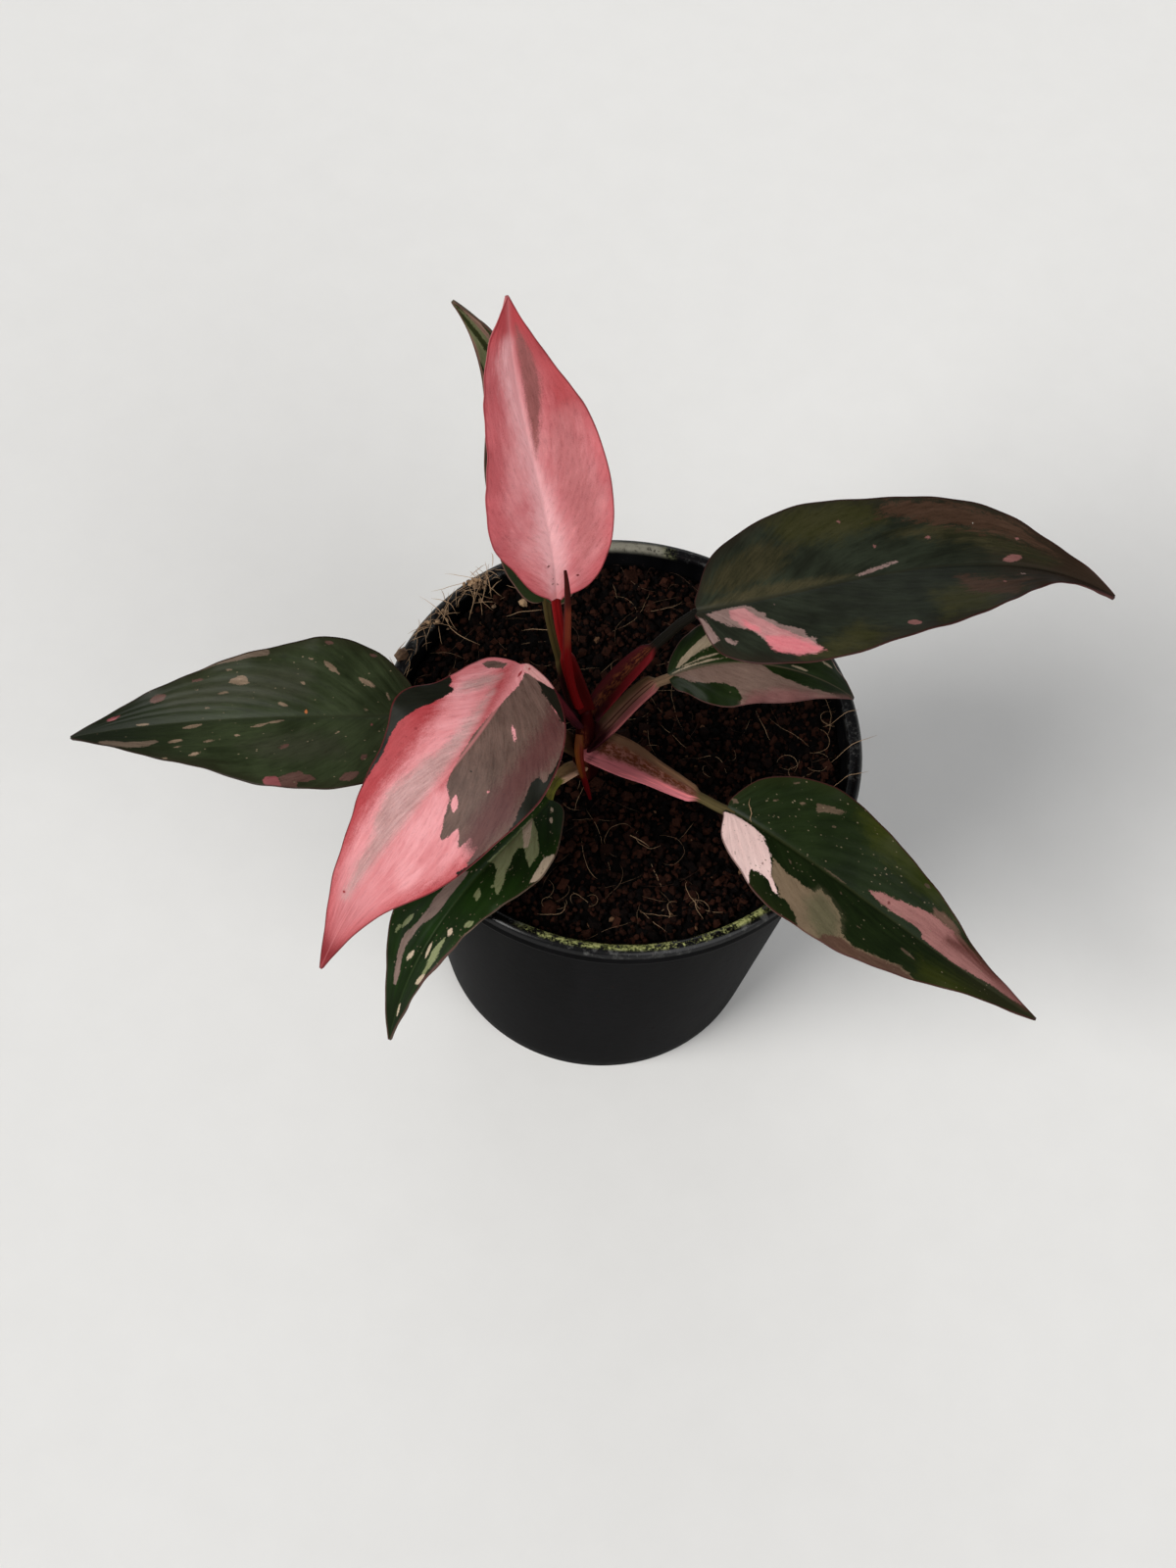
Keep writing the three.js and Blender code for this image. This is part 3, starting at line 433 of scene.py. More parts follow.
LEFT = dict(
    name="left", slots=("dark_leaf", "olive_stalk"),
    midrib=[[-49, -23, 152], [-75, -30, 156], [-105, -27, 148], [-141, -27, 128]], face=[0, -0.1, 1],
    roll=[-4, -6], fold=[10, 14], droop=0.05, lobe=0.2, sweep=0.15,
    left=[4.5, 11, 18, 20.5, 19.5, 14, 8], right=[2, 9.5, 17, 20.5, 18.5, 14.5, 8],
    petiole=[[-12, -9, 119], [-25, -9, 131], [-34, -20, 146], [-48.7, -22.9, 151.9]],
    sheath=[3.2, 3.8, 3.6, 2.6, 1.6, 1.4, 1.3], cup=1.4, opening=[0.5, 0, 1],
    tissue=dict(
        base=((0.012, 0.017, 0.006), (0.03, 0.04, 0.017)), far=(0.0034, 0.0062, 0.002), far_from=0.6,
        margin=(0.02, 0.01, 0.007), midrib=(0.024, 0.028, 0.014), midrib_width=0.8,
        rim_tint=(0.016, 0.015, 0.007), under=(0.1, 0.072, 0.048), flecks=0.45, mottle=0.45, relief=0.6,
        gloss=0.36, glow=0.0,
    ),
    stalk=dict(
        root=(0.05, 0.024, 0.012), left=STALK_OLIVE, middle=STALK_OLIVE, right=(0.085, 0.04, 0.026),
        tip=STALK_GREEN, scurf=0.5, stripes=0.4, groove=0.5, ends=0.58,
    ),
    layers=[
        marks((0.022, 0.025, 0.013), (0.034, 0.037, 0.021), soft=6.0, ragged=4.0, patches=[
            [(20, -11), (30, -12.5), (40, -11.5), (46, -8), (40, -6), (30, -5), (22, -6)],
            [(30, 5), (44, 4), (66, 3.6), (70, 7), (58, 10.5), (44, 13), (30, 13)],
        ]),
        marks((0.062, 0.03, 0.023), (0.096, 0.05, 0.04), soft=0.25, ragged=0.9, patches=[
            [(27, -18), (29, -18.8), (31, -18.6), (31, -21), (37, -21), (35, -18.5), (35.5, -17.4),
             (32.5, -16), (30.5, -15.5), (30, -16.8), (28, -16.8)],
        ], strokes=[
            ((17.3, -16.2), (21.3, -18.1), 2.3), ((15.4, -11.3), (16.7, -12.5), 1.5),
            ((24, 18.7), (26, 19), 1.3), ((12.5, 15.3), (14.5, 15.8), 0.9), ((52, -16), (58, -13.6), 0.9),
            ((68.4, 7.3), (72.7, 6.2), 2.0), ((58, 10.8), (61.5, 10.5), 1.0),
            ((34, -8.1), (36.5, -9), 1.0),
        ]),
        marks((0.075, 0.052, 0.036), (0.128, 0.094, 0.068), soft=0.25, ragged=0.8, patches=[
            [(40.6, 16.8), (41.5, 16.2), (47, 15.3), (53.5, 14.4), (60, 13), (72, 9.4), (80, 7), (70, 12),
             (56, 16), (46, 18), (42, 19)],
            [(69.5, -5.2), (72, -6.2), (77, -6.1), (82, -5.4), (86, -4), (88.5, -2.8), (85, -3),
             (80, -4.2), (75, -4.6), (70.5, -4.4)],
        ]),
        marks((0.09, 0.063, 0.04), (0.235, 0.165, 0.112), soft=0.25, ragged=0.8, patches=[
            [(45.5, 9), (47.5, 8.7), (51.2, 9.3), (50.5, 10.2), (48.6, 11.1), (47, 11), (46, 10)],
        ], strokes=[
            ((56.6, -9.4), (60, -10.1), 1.0), ((53.4, -5.9), (56.6, -6.5), 0.75),
            ((62.6, -5.3), (67, -5.7), 0.95), ((47, -5), (48.5, -5), 0.8),
            ((36, -0.9), (40.6, -1.8), 0.8), ((40.2, -1.7), (44.8, -2.8), 0.8),
            ((57.7, -1.1), (63.3, -1.8), 1.0), ((73, 0.4), (77, 0.5), 0.6),
            ((88.6, -0.4), (89.1, -0.4), 0.7), ((13.2, 7.2), (17.2, 9.7), 1.3),
            ((22.2, 10.7), (26.4, 14.2), 1.5), ((31, 8.3), (32, 8.8), 1.1), ((51, 6.9), (54, 6.8), 0.7),
            ((35.2, 2.7), (38, 3.8), 0.9), ((9.5, 3.8), (10.5, 5.8), 0.4), ((15, 1.3), (16.2, 1.7), 0.5),
            ((56, 3), (57.5, 3.2), 0.5), ((38, -5), (38.7, -5.1), 0.6), ((62.5, -7.2), (64.5, -7.3), 0.5),
            ((66, -10.2), (68, -10), 0.5), ((40, 15), (41, 15.1), 0.5), ((22, -4.6), (23, -5), 0.4),
            ((29, 14.6), (30.2, 15), 0.4), ((59, 8), (61, 8.4), 0.4), ((43, 8.6), (44.4, 8.8), 0.4),
            ((33, -3.8), (34, -4), 0.4), ((50, 12.8), (52, 12.8), 0.4),
        ]),
        marks((0.15, 0.032, 0.038), (0.215, 0.066, 0.068), soft=0.3, ragged=0.8, patches=[
            [(34.5, -21), (37.5, -21), (39.6, -18), (39, -17), (36.5, -17), (35.3, -18)],
        ], strokes=[
            ((81.5, 3.6), (86, 2.6), 0.8), ((14, -2.6), (14.5, -2.6), 0.7),
        ]),
        marks((0.34, 0.1, 0.03), (0.34, 0.1, 0.03), soft=0.35, ragged=0.3, strokes=[
            ((30.4, 1.2), (31, 1.2), 1.2),
        ]),
    ],
)

LOWER_FRONT = dict(
    name="lower_front", slots=("green_leaf", "olive_stalk"),
    midrib=[[-17, -29, 126], [-27, -48, 128], [-48, -62, 116], [-52, -82, 84]], face=[-0.1, -0.4, 1],
    roll=[6, 12], fold=[14, 17], droop=0.02, lobe=0.1, sweep=0.25,
    left=[5, 8, 12, 14, 10.5, 8, 4.5], right=[5, 9, 12, 13, 11.5, 12.5, 6.5],
    petiole=[[-10, -11, 113], [-13, -16, 119], [-17, -22, 122], [-17, -28.6, 125.9]],
    sheath=[2.6, 2.8, 2.6, 1.9, 1.3, 1.2, 1.1], cup=0.9, opening=[0, 0.4, 1],
    tissue=dict(
        base=((0.009, 0.028, 0.003), (0.0045, 0.012, 0.0018)), far=(0.0045, 0.008, 0.002), far_from=0.62,
        margin=(0.07, 0.036, 0.028), midrib=(0.026, 0.045, 0.01), midrib_width=0.7,
        rim_tint=(0.01, 0.024, 0.004), under=(0.11, 0.11, 0.058), flecks=1.6, mottle=0.35, relief=0.4,
        gloss=0.36, glow=0.0,
    ),
    stalk=dict(
        root=(0.36, 0.2, 0.125), left=(0.46, 0.28, 0.185), middle=(0.3, 0.19, 0.092),
        right=(0.24, 0.155, 0.068), tip=(0.12, 0.115, 0.02), scurf=0.4, stripes=0.9, groove=0.5,
        ends=0.55,
    ),
    layers=[
        marks((0.128, 0.146, 0.064), (0.2, 0.222, 0.112), soft=0.3, ragged=1.0, patches=[
            [(7, 0.3), (9, -3), (11, -5.5), (13.5, -8.5), (17.6, -9.4), (16.2, -7), (15, -4.5),
             (15.5, -3), (18.5, -3.8), (21, -5.2), (24, -6.8), (27.5, -8.5), (27.6, -7), (26, -5),
             (23.5, -3), (22.5, -1), (23.5, 0.6), (17, 0.3)],
            [(45, -3.9), (50, -4.9), (56, -4.5), (59, -3.5), (55, -3.1), (49, -2.9)],
            [(12, 4), (24, 6), (34, 8.6), (40, 9.4), (34, 12), (22, 11.5), (13, 8)],
        ], strokes=[
            ((30, -2.9), (32.3, -4.5), 2.0), ((36.8, -8), (39, -7), 1.7), ((27, -5.2), (27.4, -5.4), 1.0),
            ((46, 7), (50, 7.6), 1.2), ((49.5, 8.4), (52, 8.4), 0.8),
        ]),
        marks((0.33, 0.27, 0.18), (0.48, 0.38, 0.285), soft=0.25, ragged=0.8, patches=[
            [(6.8, 0.2), (10, -2.2), (14, -5), (15, -4.3), (13, -2), (11, 0.2)],
            [(11.6, -11.6), (14, -10.4), (17, -11.4), (20.5, -12.9), (17, -14.5), (12, -13)],
            [(16, 6.4), (26, 7.6), (33, 9.6), (28, 10.4), (19, 8.8)],
        ], strokes=[
            ((53.6, 2), (57, 2.3), 1.1), ((42.2, -3.9), (44.2, -4.4), 1.8), ((49, -1.3), (53.5, -2), 1.0),
            ((57, -4.2), (61, -3), 1.3), ((4.5, -4), (5.5, -5), 0.7), ((2, -2), (3, -3.2), 0.6),
            ((36, -9.8), (44, -8.4), 0.7), ((69, -0.4), (73, -0.6), 0.6),
        ]),
        marks((0.14, 0.095, 0.078), (0.215, 0.15, 0.126), soft=0.25, ragged=0.8, patches=[
            [(28.5, 2.3), (34, 2), (42, 1.9), (45, 2.8), (47, 3.8), (52, 4.4), (57, 4), (61, 2.6),
             (65, 2.4), (64.5, 3.4), (60, 4.3), (56, 5.6), (51, 6.2), (47.5, 5.2), (44, 4.6), (38, 4.9),
             (32, 4), (29, 3)],
        ]),
        marks((0.052, 0.018, 0.017), (0.08, 0.032, 0.029), soft=0.4, ragged=0.5, patches=[
            [(36, -9.8), (44, -7.9), (52, -5.9), (61, -3.9), (58, -6.8), (46, -9.8), (38, -12)],
        ]),
    ],
)

LEAVES = [UPRIGHT_PINK, RIGHT_DARK, FRONT_PINK, BACK, RIGHT_SMALL, LOWER_RIGHT, LEFT, LOWER_FRONT]

CATAPHYLLS = [
    dict(
        name="cataphyll_new", piece="new_sheath_leaf", slot="red_stalk",
        path=[[-12, -10.4, 142], [-18.4, -9, 160], [-15.4, -8, 178], [-18.4, -2.5, 191]],
        widths=[1.5, 1.4, 1.3, 1.1, 1, 0.8, 0.4], thickness=0.7, cup=0.5, opening=[0.3, 1, 0.2],
        stalk=dict(
            root=(0.078, 0.0014, 0.0018), rooted=0.56, left=(0.1, 0.018, 0.008),
            middle=(0.08, 0.012, 0.006), right=(0.05, 0.004, 0.003), tip=(0.03, 0.004, 0.003), scurf=0.0,
            stripes=0.5, ends=0.74,
        ),
    ),
    dict(
        name="cataphyll_dry", piece="dry_sheath_leaf", slot="dry_sheath",
        path=[[-11, -12.3, 132], [-11, -18, 127], [-9, -17, 119], [-6.5, -18.5, 110]],
        widths=[1, 1.3, 1.2, 1.1, 0.9, 0.8, 0.4], thickness=0.5, cup=0.3, opening=[0, 1, 0.2],
        stalk=dict(
            root=(0.08, 0.022, 0.006), left=(0.14, 0.042, 0.009), middle=(0.1, 0.024, 0.005),
            right=(0.065, 0.007, 0.004), tip=(0.065, 0.002, 0.003), scurf=0.3, stripes=0.8, ends=0.62,
        ),
    ),
]

STEM = dict(
    path=[[-8, -9, 74], [-8, -9, 98], [-9, -8, 118], [-10, -8, 137]],
    radii=[3.4, 3.6, 3.8, 3.3, 1.3],
    stalk=dict(
        root=(0.03, 0.006, 0.004), left=(0.016, 0.0012, 0.0015), middle=(0.026, 0.0015, 0.0018),
        right=(0.012, 0.001, 0.0012), tip=(0.02, 0.001, 0.0012), scurf=0.6, stripes=0.6, ends=0.9,
    ),
)

POT = dict(
    height=112.5, rim_radius=65, rim_roll=2, skirt=5.5, shoulder_radius=61.5, foot_radius=46.5, wall=1.4,
    floor=4.5, recess=2.5, pad_radius=15, foot_ring=4, drain_holes=8, drain_radius=4, drain_circle=28,
)

SOIL = dict(level=106.5, crown=1.2, gap=0.35)


# ---- Meshes ----


def station(values, t):
    """Value at t (0 to 1, an array) of a smooth curve through evenly spaced stations."""
    known = np.array(values, float)
    known = np.concatenate([[2 * known[0] - known[1]], known, [2 * known[-1] - known[-2]]])
    last = len(values) - 1
    x = np.minimum(np.asarray(t, float) * last, last - 1e-9)
    i = x.astype(int)
    f = x - i
    a, b, c, d = (known[i + k] for k in range(4))
    return 0.5 * (2 * b + (c - a) * f + (2 * a - 5 * b + 4 * c - d) * f**2 + (3 * (b - c) + d - a) * f**3)


def bezier(points, s):
    """Points and unit tangents of a cubic Bezier at s, an array."""
    p0, p1, p2, p3 = (np.array(p, float) for p in points)
    s = np.asarray(s, float)[:, None]
    r = 1 - s
    at = p0 * r**3 + 3 * p1 * r**2 * s + 3 * p2 * r * s**2 + p3 * s**3
    along = (p1 - p0) * r**2 + 2 * (p2 - p1) * r * s + (p3 - p2) * s**2
    return at, unit(along)


def unit(vectors):
    return vectors / np.linalg.norm(vectors, axis=-1, keepdims=True)


def frames(points, s, face, roll=0.0):
    """Middle, tangent, side and normal of a curve at s; roll is in radians."""
    middle, tangent = bezier(points, s)
    side = unit(np.cross(tangent, np.array(face, float)))
    roll = np.broadcast_to(roll, s.shape)[:, None]
    side = side * np.cos(roll) + np.cross(tangent, side) * np.sin(roll)
    return middle, tangent, side, np.cross(side, tangent)


def lerp(pair, f):
    return pair[0] + (pair[1] - pair[0]) * f


def smooth(low, high, x):
    f = np.clip((x - low) / (high - low), 0, 1)
    return f * f * (3 - 2 * f)


def grid_faces(rows, columns, first=0, wrap=False):
    """Quads of a grid of rows x columns points; wrap closes it across the columns."""
    i = np.arange(rows - 1)[:, None] * columns
    j = np.arange(columns if wrap else columns - 1)[None, :]
    k = (j + 1) % columns
    return (np.stack([i + j, i + k, i + columns + k, i + columns + j], -1).reshape(-1, 4) + first).tolist()


def tube_faces(rows, sides, first=0):
    """Faces of a closed tube of rings: its wall and a cap at each end."""
    last = first + (rows - 1) * sides
    caps = [list(range(first + sides - 1, first - 1, -1)), list(range(last, last + sides))]
    return grid_faces(rows, sides, first, wrap=True) + caps


def add_mesh(name, points, faces, surface, attributes=None, smooth_shaded=True):
    """A mesh object from points in millimetres; attributes hold one number or vector for each point."""
    mesh = bpy.data.meshes.new(name)
    mesh.from_pydata((np.asarray(points, float) * MM).tolist(), [], faces)
    mesh.polygons.foreach_set("use_smooth", [smooth_shaded] * len(mesh.polygons))
    for label, values in (attributes or {}).items():
        values = np.asarray(values, np.float32)
        kind = "FLOAT" if values.ndim == 1 else "FLOAT_VECTOR"
        field = "value" if values.ndim == 1 else "vector"
        mesh.attributes.new(label, kind, "POINT").data.foreach_set(field, values.ravel())
    mesh.materials.append(surface)
    mesh.update()
    made = bpy.data.objects.new(name, mesh)
    bpy.context.scene.collection.objects.link(made)
    return made


def seat(made, slot, *nodes):
    """The piece rides on the plant's one body and stands for its CAD nodes; its slot is not used."""
    if nodes:
        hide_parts(*nodes)
    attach(made, BODY)
    return made


# ---- Materials ----


class Value:
    """A socket in an expression. Arithmetic on it adds Math nodes to its material."""

    def __init__(self, paint, socket):
        self.paint = paint
        self.socket = socket

    def maths(self, operation, a, b):
        return self.paint.node("Math", {"operation": operation}, {0: a, 1: b})

    def __add__(self, other):
        return self.maths("ADD", self, other)

    def __radd__(self, other):
        return self.maths("ADD", other, self)

    def __sub__(self, other):
        return self.maths("SUBTRACT", self, other)

    def __rsub__(self, other):
        return self.maths("SUBTRACT", other, self)

    def __mul__(self, other):
        return self.maths("MULTIPLY", self, other)

    def __rmul__(self, other):
        return self.maths("MULTIPLY", other, self)

    def __truediv__(self, other):
        return self.maths("DIVIDE", self, other)

    def __pow__(self, other):
        return self.maths("POWER", self, other)

    def __abs__(self):
        return self.maths("ABSOLUTE", self, 0.0)


class Paint:
    """A node tree, of a material or of the world, built node by node."""

    def __init__(self, tree):
        self.tree = tree
        tree.nodes.clear()

    def node(self, kind, settings=None, inputs=None, output=0):
        """Adds a node: its settings first, then the values or links of its sockets."""
        made = self.tree.nodes.new("ShaderNode" + kind)
        for name, value in (settings or {}).items():
            setattr(made, name, value)
        for name, value in (inputs or {}).items():
            if isinstance(value, Value):
                self.tree.links.new(value.socket, made.inputs[name])
            else:
                made.inputs[name].default_value = value
        return Value(self, made.outputs[output]) if made.outputs else None

    def attribute(self, name, output="Fac"):
        return self.node("Attribute", {"attribute_name": name}, output=output)

    def place(self):
        """Position in the part's frame, in metres."""
        return self.node("TexCoord", output="Object")

    def split(self, vector):
        parts = self.node("SeparateXYZ", inputs={0: vector})
        outputs = parts.socket.node.outputs
        return Value(self, outputs[0]), Value(self, outputs[1]), Value(self, outputs[2])

    def stretch(self, vector, scales):
        return self.node("VectorMath", {"operation": "MULTIPLY"}, {0: vector, 1: scales})

    def noise(self, vector, scale, detail, roughness):
        inputs = {"Vector": vector, "Scale": scale, "Detail": detail, "Roughness": roughness}
        return self.node("TexNoise", inputs=inputs)

    def rise(self, value, low, high):
        """0 below low, 1 above high and smooth between; low may be the larger."""
        return self.node("MapRange", {"interpolation_type": "SMOOTHSTEP"},
                         {"Value": value, "From Min": low, "From Max": high})

    def mix(self, first, second, share):
        """Colour from first to second as share goes from 0 to 1."""
        colours = [c if isinstance(c, Value) else (*c, 1.0) for c in (first, second)]
        return self.node("Mix", {"data_type": "RGBA"}, {0: share, 6: colours[0], 7: colours[1]}, output=2)

    def finish(self, colour, roughness, height=None, depth=0.0, **constants):
        """Principled surface; height is the relief, depth its size in metres."""
        inputs = {"Base Color": colour, "Roughness": roughness}
        for name, value in constants.items():
            inputs[name.replace("_", " ")] = value
        if height is not None:
            bump = {"Strength": 1.0, "Distance": depth, "Height": height}
            inputs["Normal"] = self.node("Bump", inputs=bump)
        surface = self.node("BsdfPrincipled", inputs=inputs)
        self.node("OutputMaterial", inputs={"Surface": surface})


def material(name):
    """A new material and the Paint for its nodes."""
    made = bpy.data.materials.new(name)
    made.use_nodes = True
    return made, Paint(made.node_tree)


def leaf_tissue(leaf):
    """A blade's surface: tissue streaked along the side veins, its marks, midrib, margin and underside."""
    look = leaf["tissue"]
    tissue, paint = material(leaf["name"] + "_tissue")
    flat = paint.attribute("flat", "Vector")
    vein = paint.attribute("vein", "Vector")
    along = paint.attribute("along")
    midline = paint.attribute("midline")
    margin = paint.attribute("margin")
    under = paint.attribute("under")

    streaks = paint.noise(paint.stretch(vein, (0.50, 0.05, 1.0)), 1.0, 4.0, 0.6)
    fine = paint.noise(paint.stretch(vein, (1.5, 0.26, 1.0)), 1.0, 4.0, 0.65)
    wash = paint.noise(flat, 0.07, 3.0, 0.5)
    grain = paint.noise(flat, 2.4, 3.0, 0.6)
    ragged = paint.noise(paint.stretch(vein, (0.7, 0.22, 1.0)), 1.0, 5.0, 0.75)

    tone = paint.rise(streaks * 0.5 + wash * 0.7 + fine * 0.18, 0.50, 0.90)
    colour = paint.mix(*look["base"], tone)
    edge_tint = paint.rise(margin + streaks * 4.0, 6.5, 1.5)
    colour = paint.mix(colour, look["rim_tint"], edge_tint * 0.7)
    reach = along + (streaks - 0.5) * 0.45 + (wash - 0.5) * 0.3
    far = paint.rise(reach, look["far_from"], look["far_from"] + 0.32)
    colour = paint.mix(colour, look["far"], far * 0.85)

    ragged = (ragged - 0.5) * (paint.rise(midline, 0.2, 3.5) * 0.8 + 0.2)
    light = paint.rise(streaks * 0.45 + wash * 0.35 + fine * 0.30 + grain * 0.15, 0.44, 0.82)
    for number, layer in enumerate(leaf["layers"]):
        distance = paint.attribute(f"layer_{number}")
        edge = distance + ragged * (2.0 * layer["ragged"]) + (grain - 0.5) * (0.85 * layer["ragged"])
        inside = paint.rise(edge, 0.5 * layer["soft"], -0.5 * layer["soft"])
        colour = paint.mix(colour, paint.mix(*layer["colour"], light), inside)

    if look["flecks"]:
        place = paint.stretch(flat, (0.88, 1.55, 1.0))
        dots = paint.node("TexVoronoi", inputs={"Vector": place, "Scale": 1.0})
        chosen, size, _ = paint.split(Value(paint, dots.socket.node.outputs["Color"]))
        crowd = paint.rise(wash + (1.0 - along) * 0.25, 0.48, 0.72)
        kept = paint.rise(chosen + crowd * (0.36 * look["flecks"]), 1.02, 1.08)
        flecks = paint.rise(dots - size * 0.15, 0.15, 0.07) * kept
        colour = paint.mix(colour, FLECK_TAN, flecks * 0.85)

    speckle = fine * 0.65 + grain * 0.35
    shaded = paint.mix(colour, (0.0, 0.0, 0.0), 0.45)
    colour = paint.mix(colour, shaded, paint.rise(speckle, 0.50, 0.34) * look["mottle"])
    lit = paint.stretch(colour, (1.40, 1.38, 1.35))
    colour = paint.mix(colour, lit, paint.rise(speckle, 0.54, 0.70) * look["mottle"])

    width = look["midrib_width"]
    rib = paint.rise(midline + along * (0.6 * width), width, 0.25 * width)
    colour = paint.mix(colour, look["midrib"], rib * look.get("rib", 0.5))
    colour = paint.mix(colour, look["margin"], paint.rise(margin, 0.50, 0.10) * 0.8)
    colour = paint.mix(colour, paint.mix(colour, look["under"], 0.55), under)

    cells = paint.noise(flat, 9.0, 2.0, 0.5)
    roughness = look["gloss"] + under * 0.2 + (wash - 0.5) * 0.12 + (fine - 0.5) * 0.06
    paint.finish(colour, roughness, fine * 0.6 + cells * 0.25 + streaks * 0.5, 0.00006,
                 Specular_IOR_Level=0.08, Subsurface_Weight=look["glow"],
                 Subsurface_Radius=(0.0015, 0.0005, 0.0004), Subsurface_Scale=1.0)
    return tissue


def stalk_skin(name, look):
    """A stalk and its sheath: three colours across the sheath, others for its root and the bare stalk,
    fine lengthwise lines, dark seams and brown scurf along the groove."""
    skin, paint = material(name + "_skin")
    way = paint.attribute("way", "Vector")
    _, across, _ = paint.split(way)
    share = paint.attribute("share")
    upper = paint.attribute("upper")
    lines = paint.noise(paint.stretch(way, (0.05, 4.0, 2.0)), 1.0, 4.0, 0.65)
    wash = paint.noise(paint.stretch(way, (0.12, 1.2, 1.0)), 1.0, 3.0, 0.5)
    crumbs = paint.noise(paint.stretch(way, (0.55, 7.0, 3.0)), 1.0, 5.0, 0.75)

    place = across + (lines - 0.5) * 0.5 + (wash - 0.5) * 0.3
    colour = paint.mix(look["left"], look["middle"], paint.rise(place, -0.60, -0.20))
    colour = paint.mix(colour, look["right"], paint.rise(place, 0.05, 0.45))
    rooted = look.get("rooted", 0.22)
    colour = paint.mix(colour, look["root"], paint.rise(share + (wash - 0.5) * 0.2, rooted, rooted - 0.16))
    sheathed = paint.rise(share + (lines - 0.5) * 0.08, look["ends"] + 0.05, look["ends"] - 0.03)
    colour = paint.mix(look["tip"], colour, sheathed)
    dark = paint.mix(colour, STALK_LINE, 0.7)
    colour = paint.mix(colour, dark, paint.rise(lines, 0.55, 0.66) * (0.7 * look["stripes"]))
    pale = paint.stretch(colour, (1.7, 1.6, 1.5))
    colour = paint.mix(colour, pale, paint.rise(lines, 0.46, 0.34) * (0.7 * look["stripes"]))
    seams = paint.rise(abs(abs(across + 0.06) - 0.17), 0.075, 0.02) * sheathed * upper
    colour = paint.mix(colour, SEAM, seams * look.get("seams", 0.0))
    groove = paint.rise(abs(across + (wash - 0.5) * 0.3 + 0.12), 0.55, 0.15) * sheathed * upper
    scurf = paint.rise(crumbs, 0.46, 0.55) * groove * look["scurf"]
    colour = paint.mix(colour, SCURF, scurf)
    roughness = 0.45 + scurf * 0.35 + (wash - 0.5) * 0.15
    paint.finish(colour, roughness, lines * 0.6 + crumbs * scurf, 0.0002, Specular_IOR_Level=0.03)
    return skin


def pot_plastic():
    """Black moulded plastic: satin and a little dusty. The rim is scuffed grey, and lime algae at the
    front and grey lichen at the back grow along the inner half of its crest."""
    plastic, paint = material("black_nursery_plastic")
    place = paint.place()
    x, y, z = paint.split(place)
    radius = (x * x + y * y) ** 0.5
    height = z * 1000.0
    grime = paint.noise(place, 320.0, 6.0, 0.75)
    smear = paint.noise(paint.stretch(place, (1.0, 1.0, 0.15)), 60.0, 4.0, 0.6)
    drift = paint.noise(place, 30.0, 2.0, 0.5)
    powder = paint.noise(place, 1500.0, 3.0, 0.7)

    crest = paint.rise(height, 110.0, 111.4) * paint.rise(radius * 1000.0, 60.6, 61.6)
    inner = paint.rise(radius * 1000.0 + (drift - 0.5) * 2.0, 63.9, 62.8)
    front = paint.rise((x * 0.24 - y * 0.97) / radius + (drift - 0.5) * 0.5, 0.76, 0.92)
    back = paint.rise(y / radius - x * 2.0 + (drift - 0.5) * 0.2, 0.95, 0.985)
    growth = grime * 0.9 + drift * 0.45 + smear * 0.15 + back * 0.10 + (powder - 0.5) * 0.5
    algae = paint.rise(growth, 0.66, 0.78) * crest * inner * (front + back)

    colour = paint.mix((0.0010, 0.0010, 0.0012), (0.0036, 0.0036, 0.0041), paint.rise(smear, 0.35, 0.70))
    scuffs = paint.rise(grime + smear * 0.3, 0.66, 0.80) * crest * 0.55
    colour = paint.mix(colour, (0.085, 0.085, 0.08), scuffs)
    lush = paint.rise(grime * 0.6 + powder * 0.5, 0.48, 0.66)
    lime = paint.mix((0.060, 0.078, 0.014), (0.34, 0.35, 0.14), lush)
    lichen = paint.mix((0.10, 0.095, 0.075), (0.30, 0.285, 0.23), grime)
    colour = paint.mix(colour, paint.mix(lime, lichen, back), algae)
    dust = paint.rise(paint.noise(place, 900.0, 2.0, 0.5), 0.64, 0.72) * paint.rise(smear, 0.45, 0.65)
    colour = paint.mix(colour, (0.07, 0.045, 0.035), dust * 0.15)
    roughness = 0.42 + scuffs * 0.3 + algae * 0.4 + dust * 0.2 + (smear - 0.5) * 0.15
    paint.finish(colour, roughness, grime * 0.25 + smear * 0.4 + algae * 1.2, 0.00025,
                 Specular_IOR_Level=0.005, Coat_Weight=crest * (1.0 - algae) * 0.5, Coat_Roughness=0.22)
    return plastic


def soil_mix():
    """Coir and bark: each chip has its own tone, from near black to reddish brown, with a few tan ones."""
    mix, paint = material("coir_and_bark")
    tone = paint.attribute("tone")
    grain = paint.noise(paint.place(), 1500.0, 4.0, 0.7)
    red = paint.rise(tone + (grain - 0.5) * 0.6, 0.14, 0.95)
    colour = paint.mix((0.0010, 0.0004, 0.0003), (0.031, 0.0098, 0.0052), red)
    tan = paint.rise(tone + (grain - 0.5) * 0.2, 0.88, 0.97)
    colour = paint.mix(colour, (0.15, 0.080, 0.042), tan)
    paint.finish(colour, 0.85, grain, 0.0006, Specular_IOR_Level=0.08)
    return mix


def straw():
    """Coir fibre and crumbs: each has its own tone, from dark brown to straw."""
    fibre, paint = material("coir_fibre")
    tone = paint.attribute("tone")
    grain = paint.noise(paint.place(), 900.0, 3.0, 0.6)
    pale = paint.rise(tone + (grain - 0.5) * 0.5, 0.15, 0.95)
    colour = paint.mix((0.030, 0.012, 0.006), (0.38, 0.245, 0.140), pale)
    paint.finish(colour, 0.6, grain, 0.0001, Specular_IOR_Level=0.2)
    return fibre


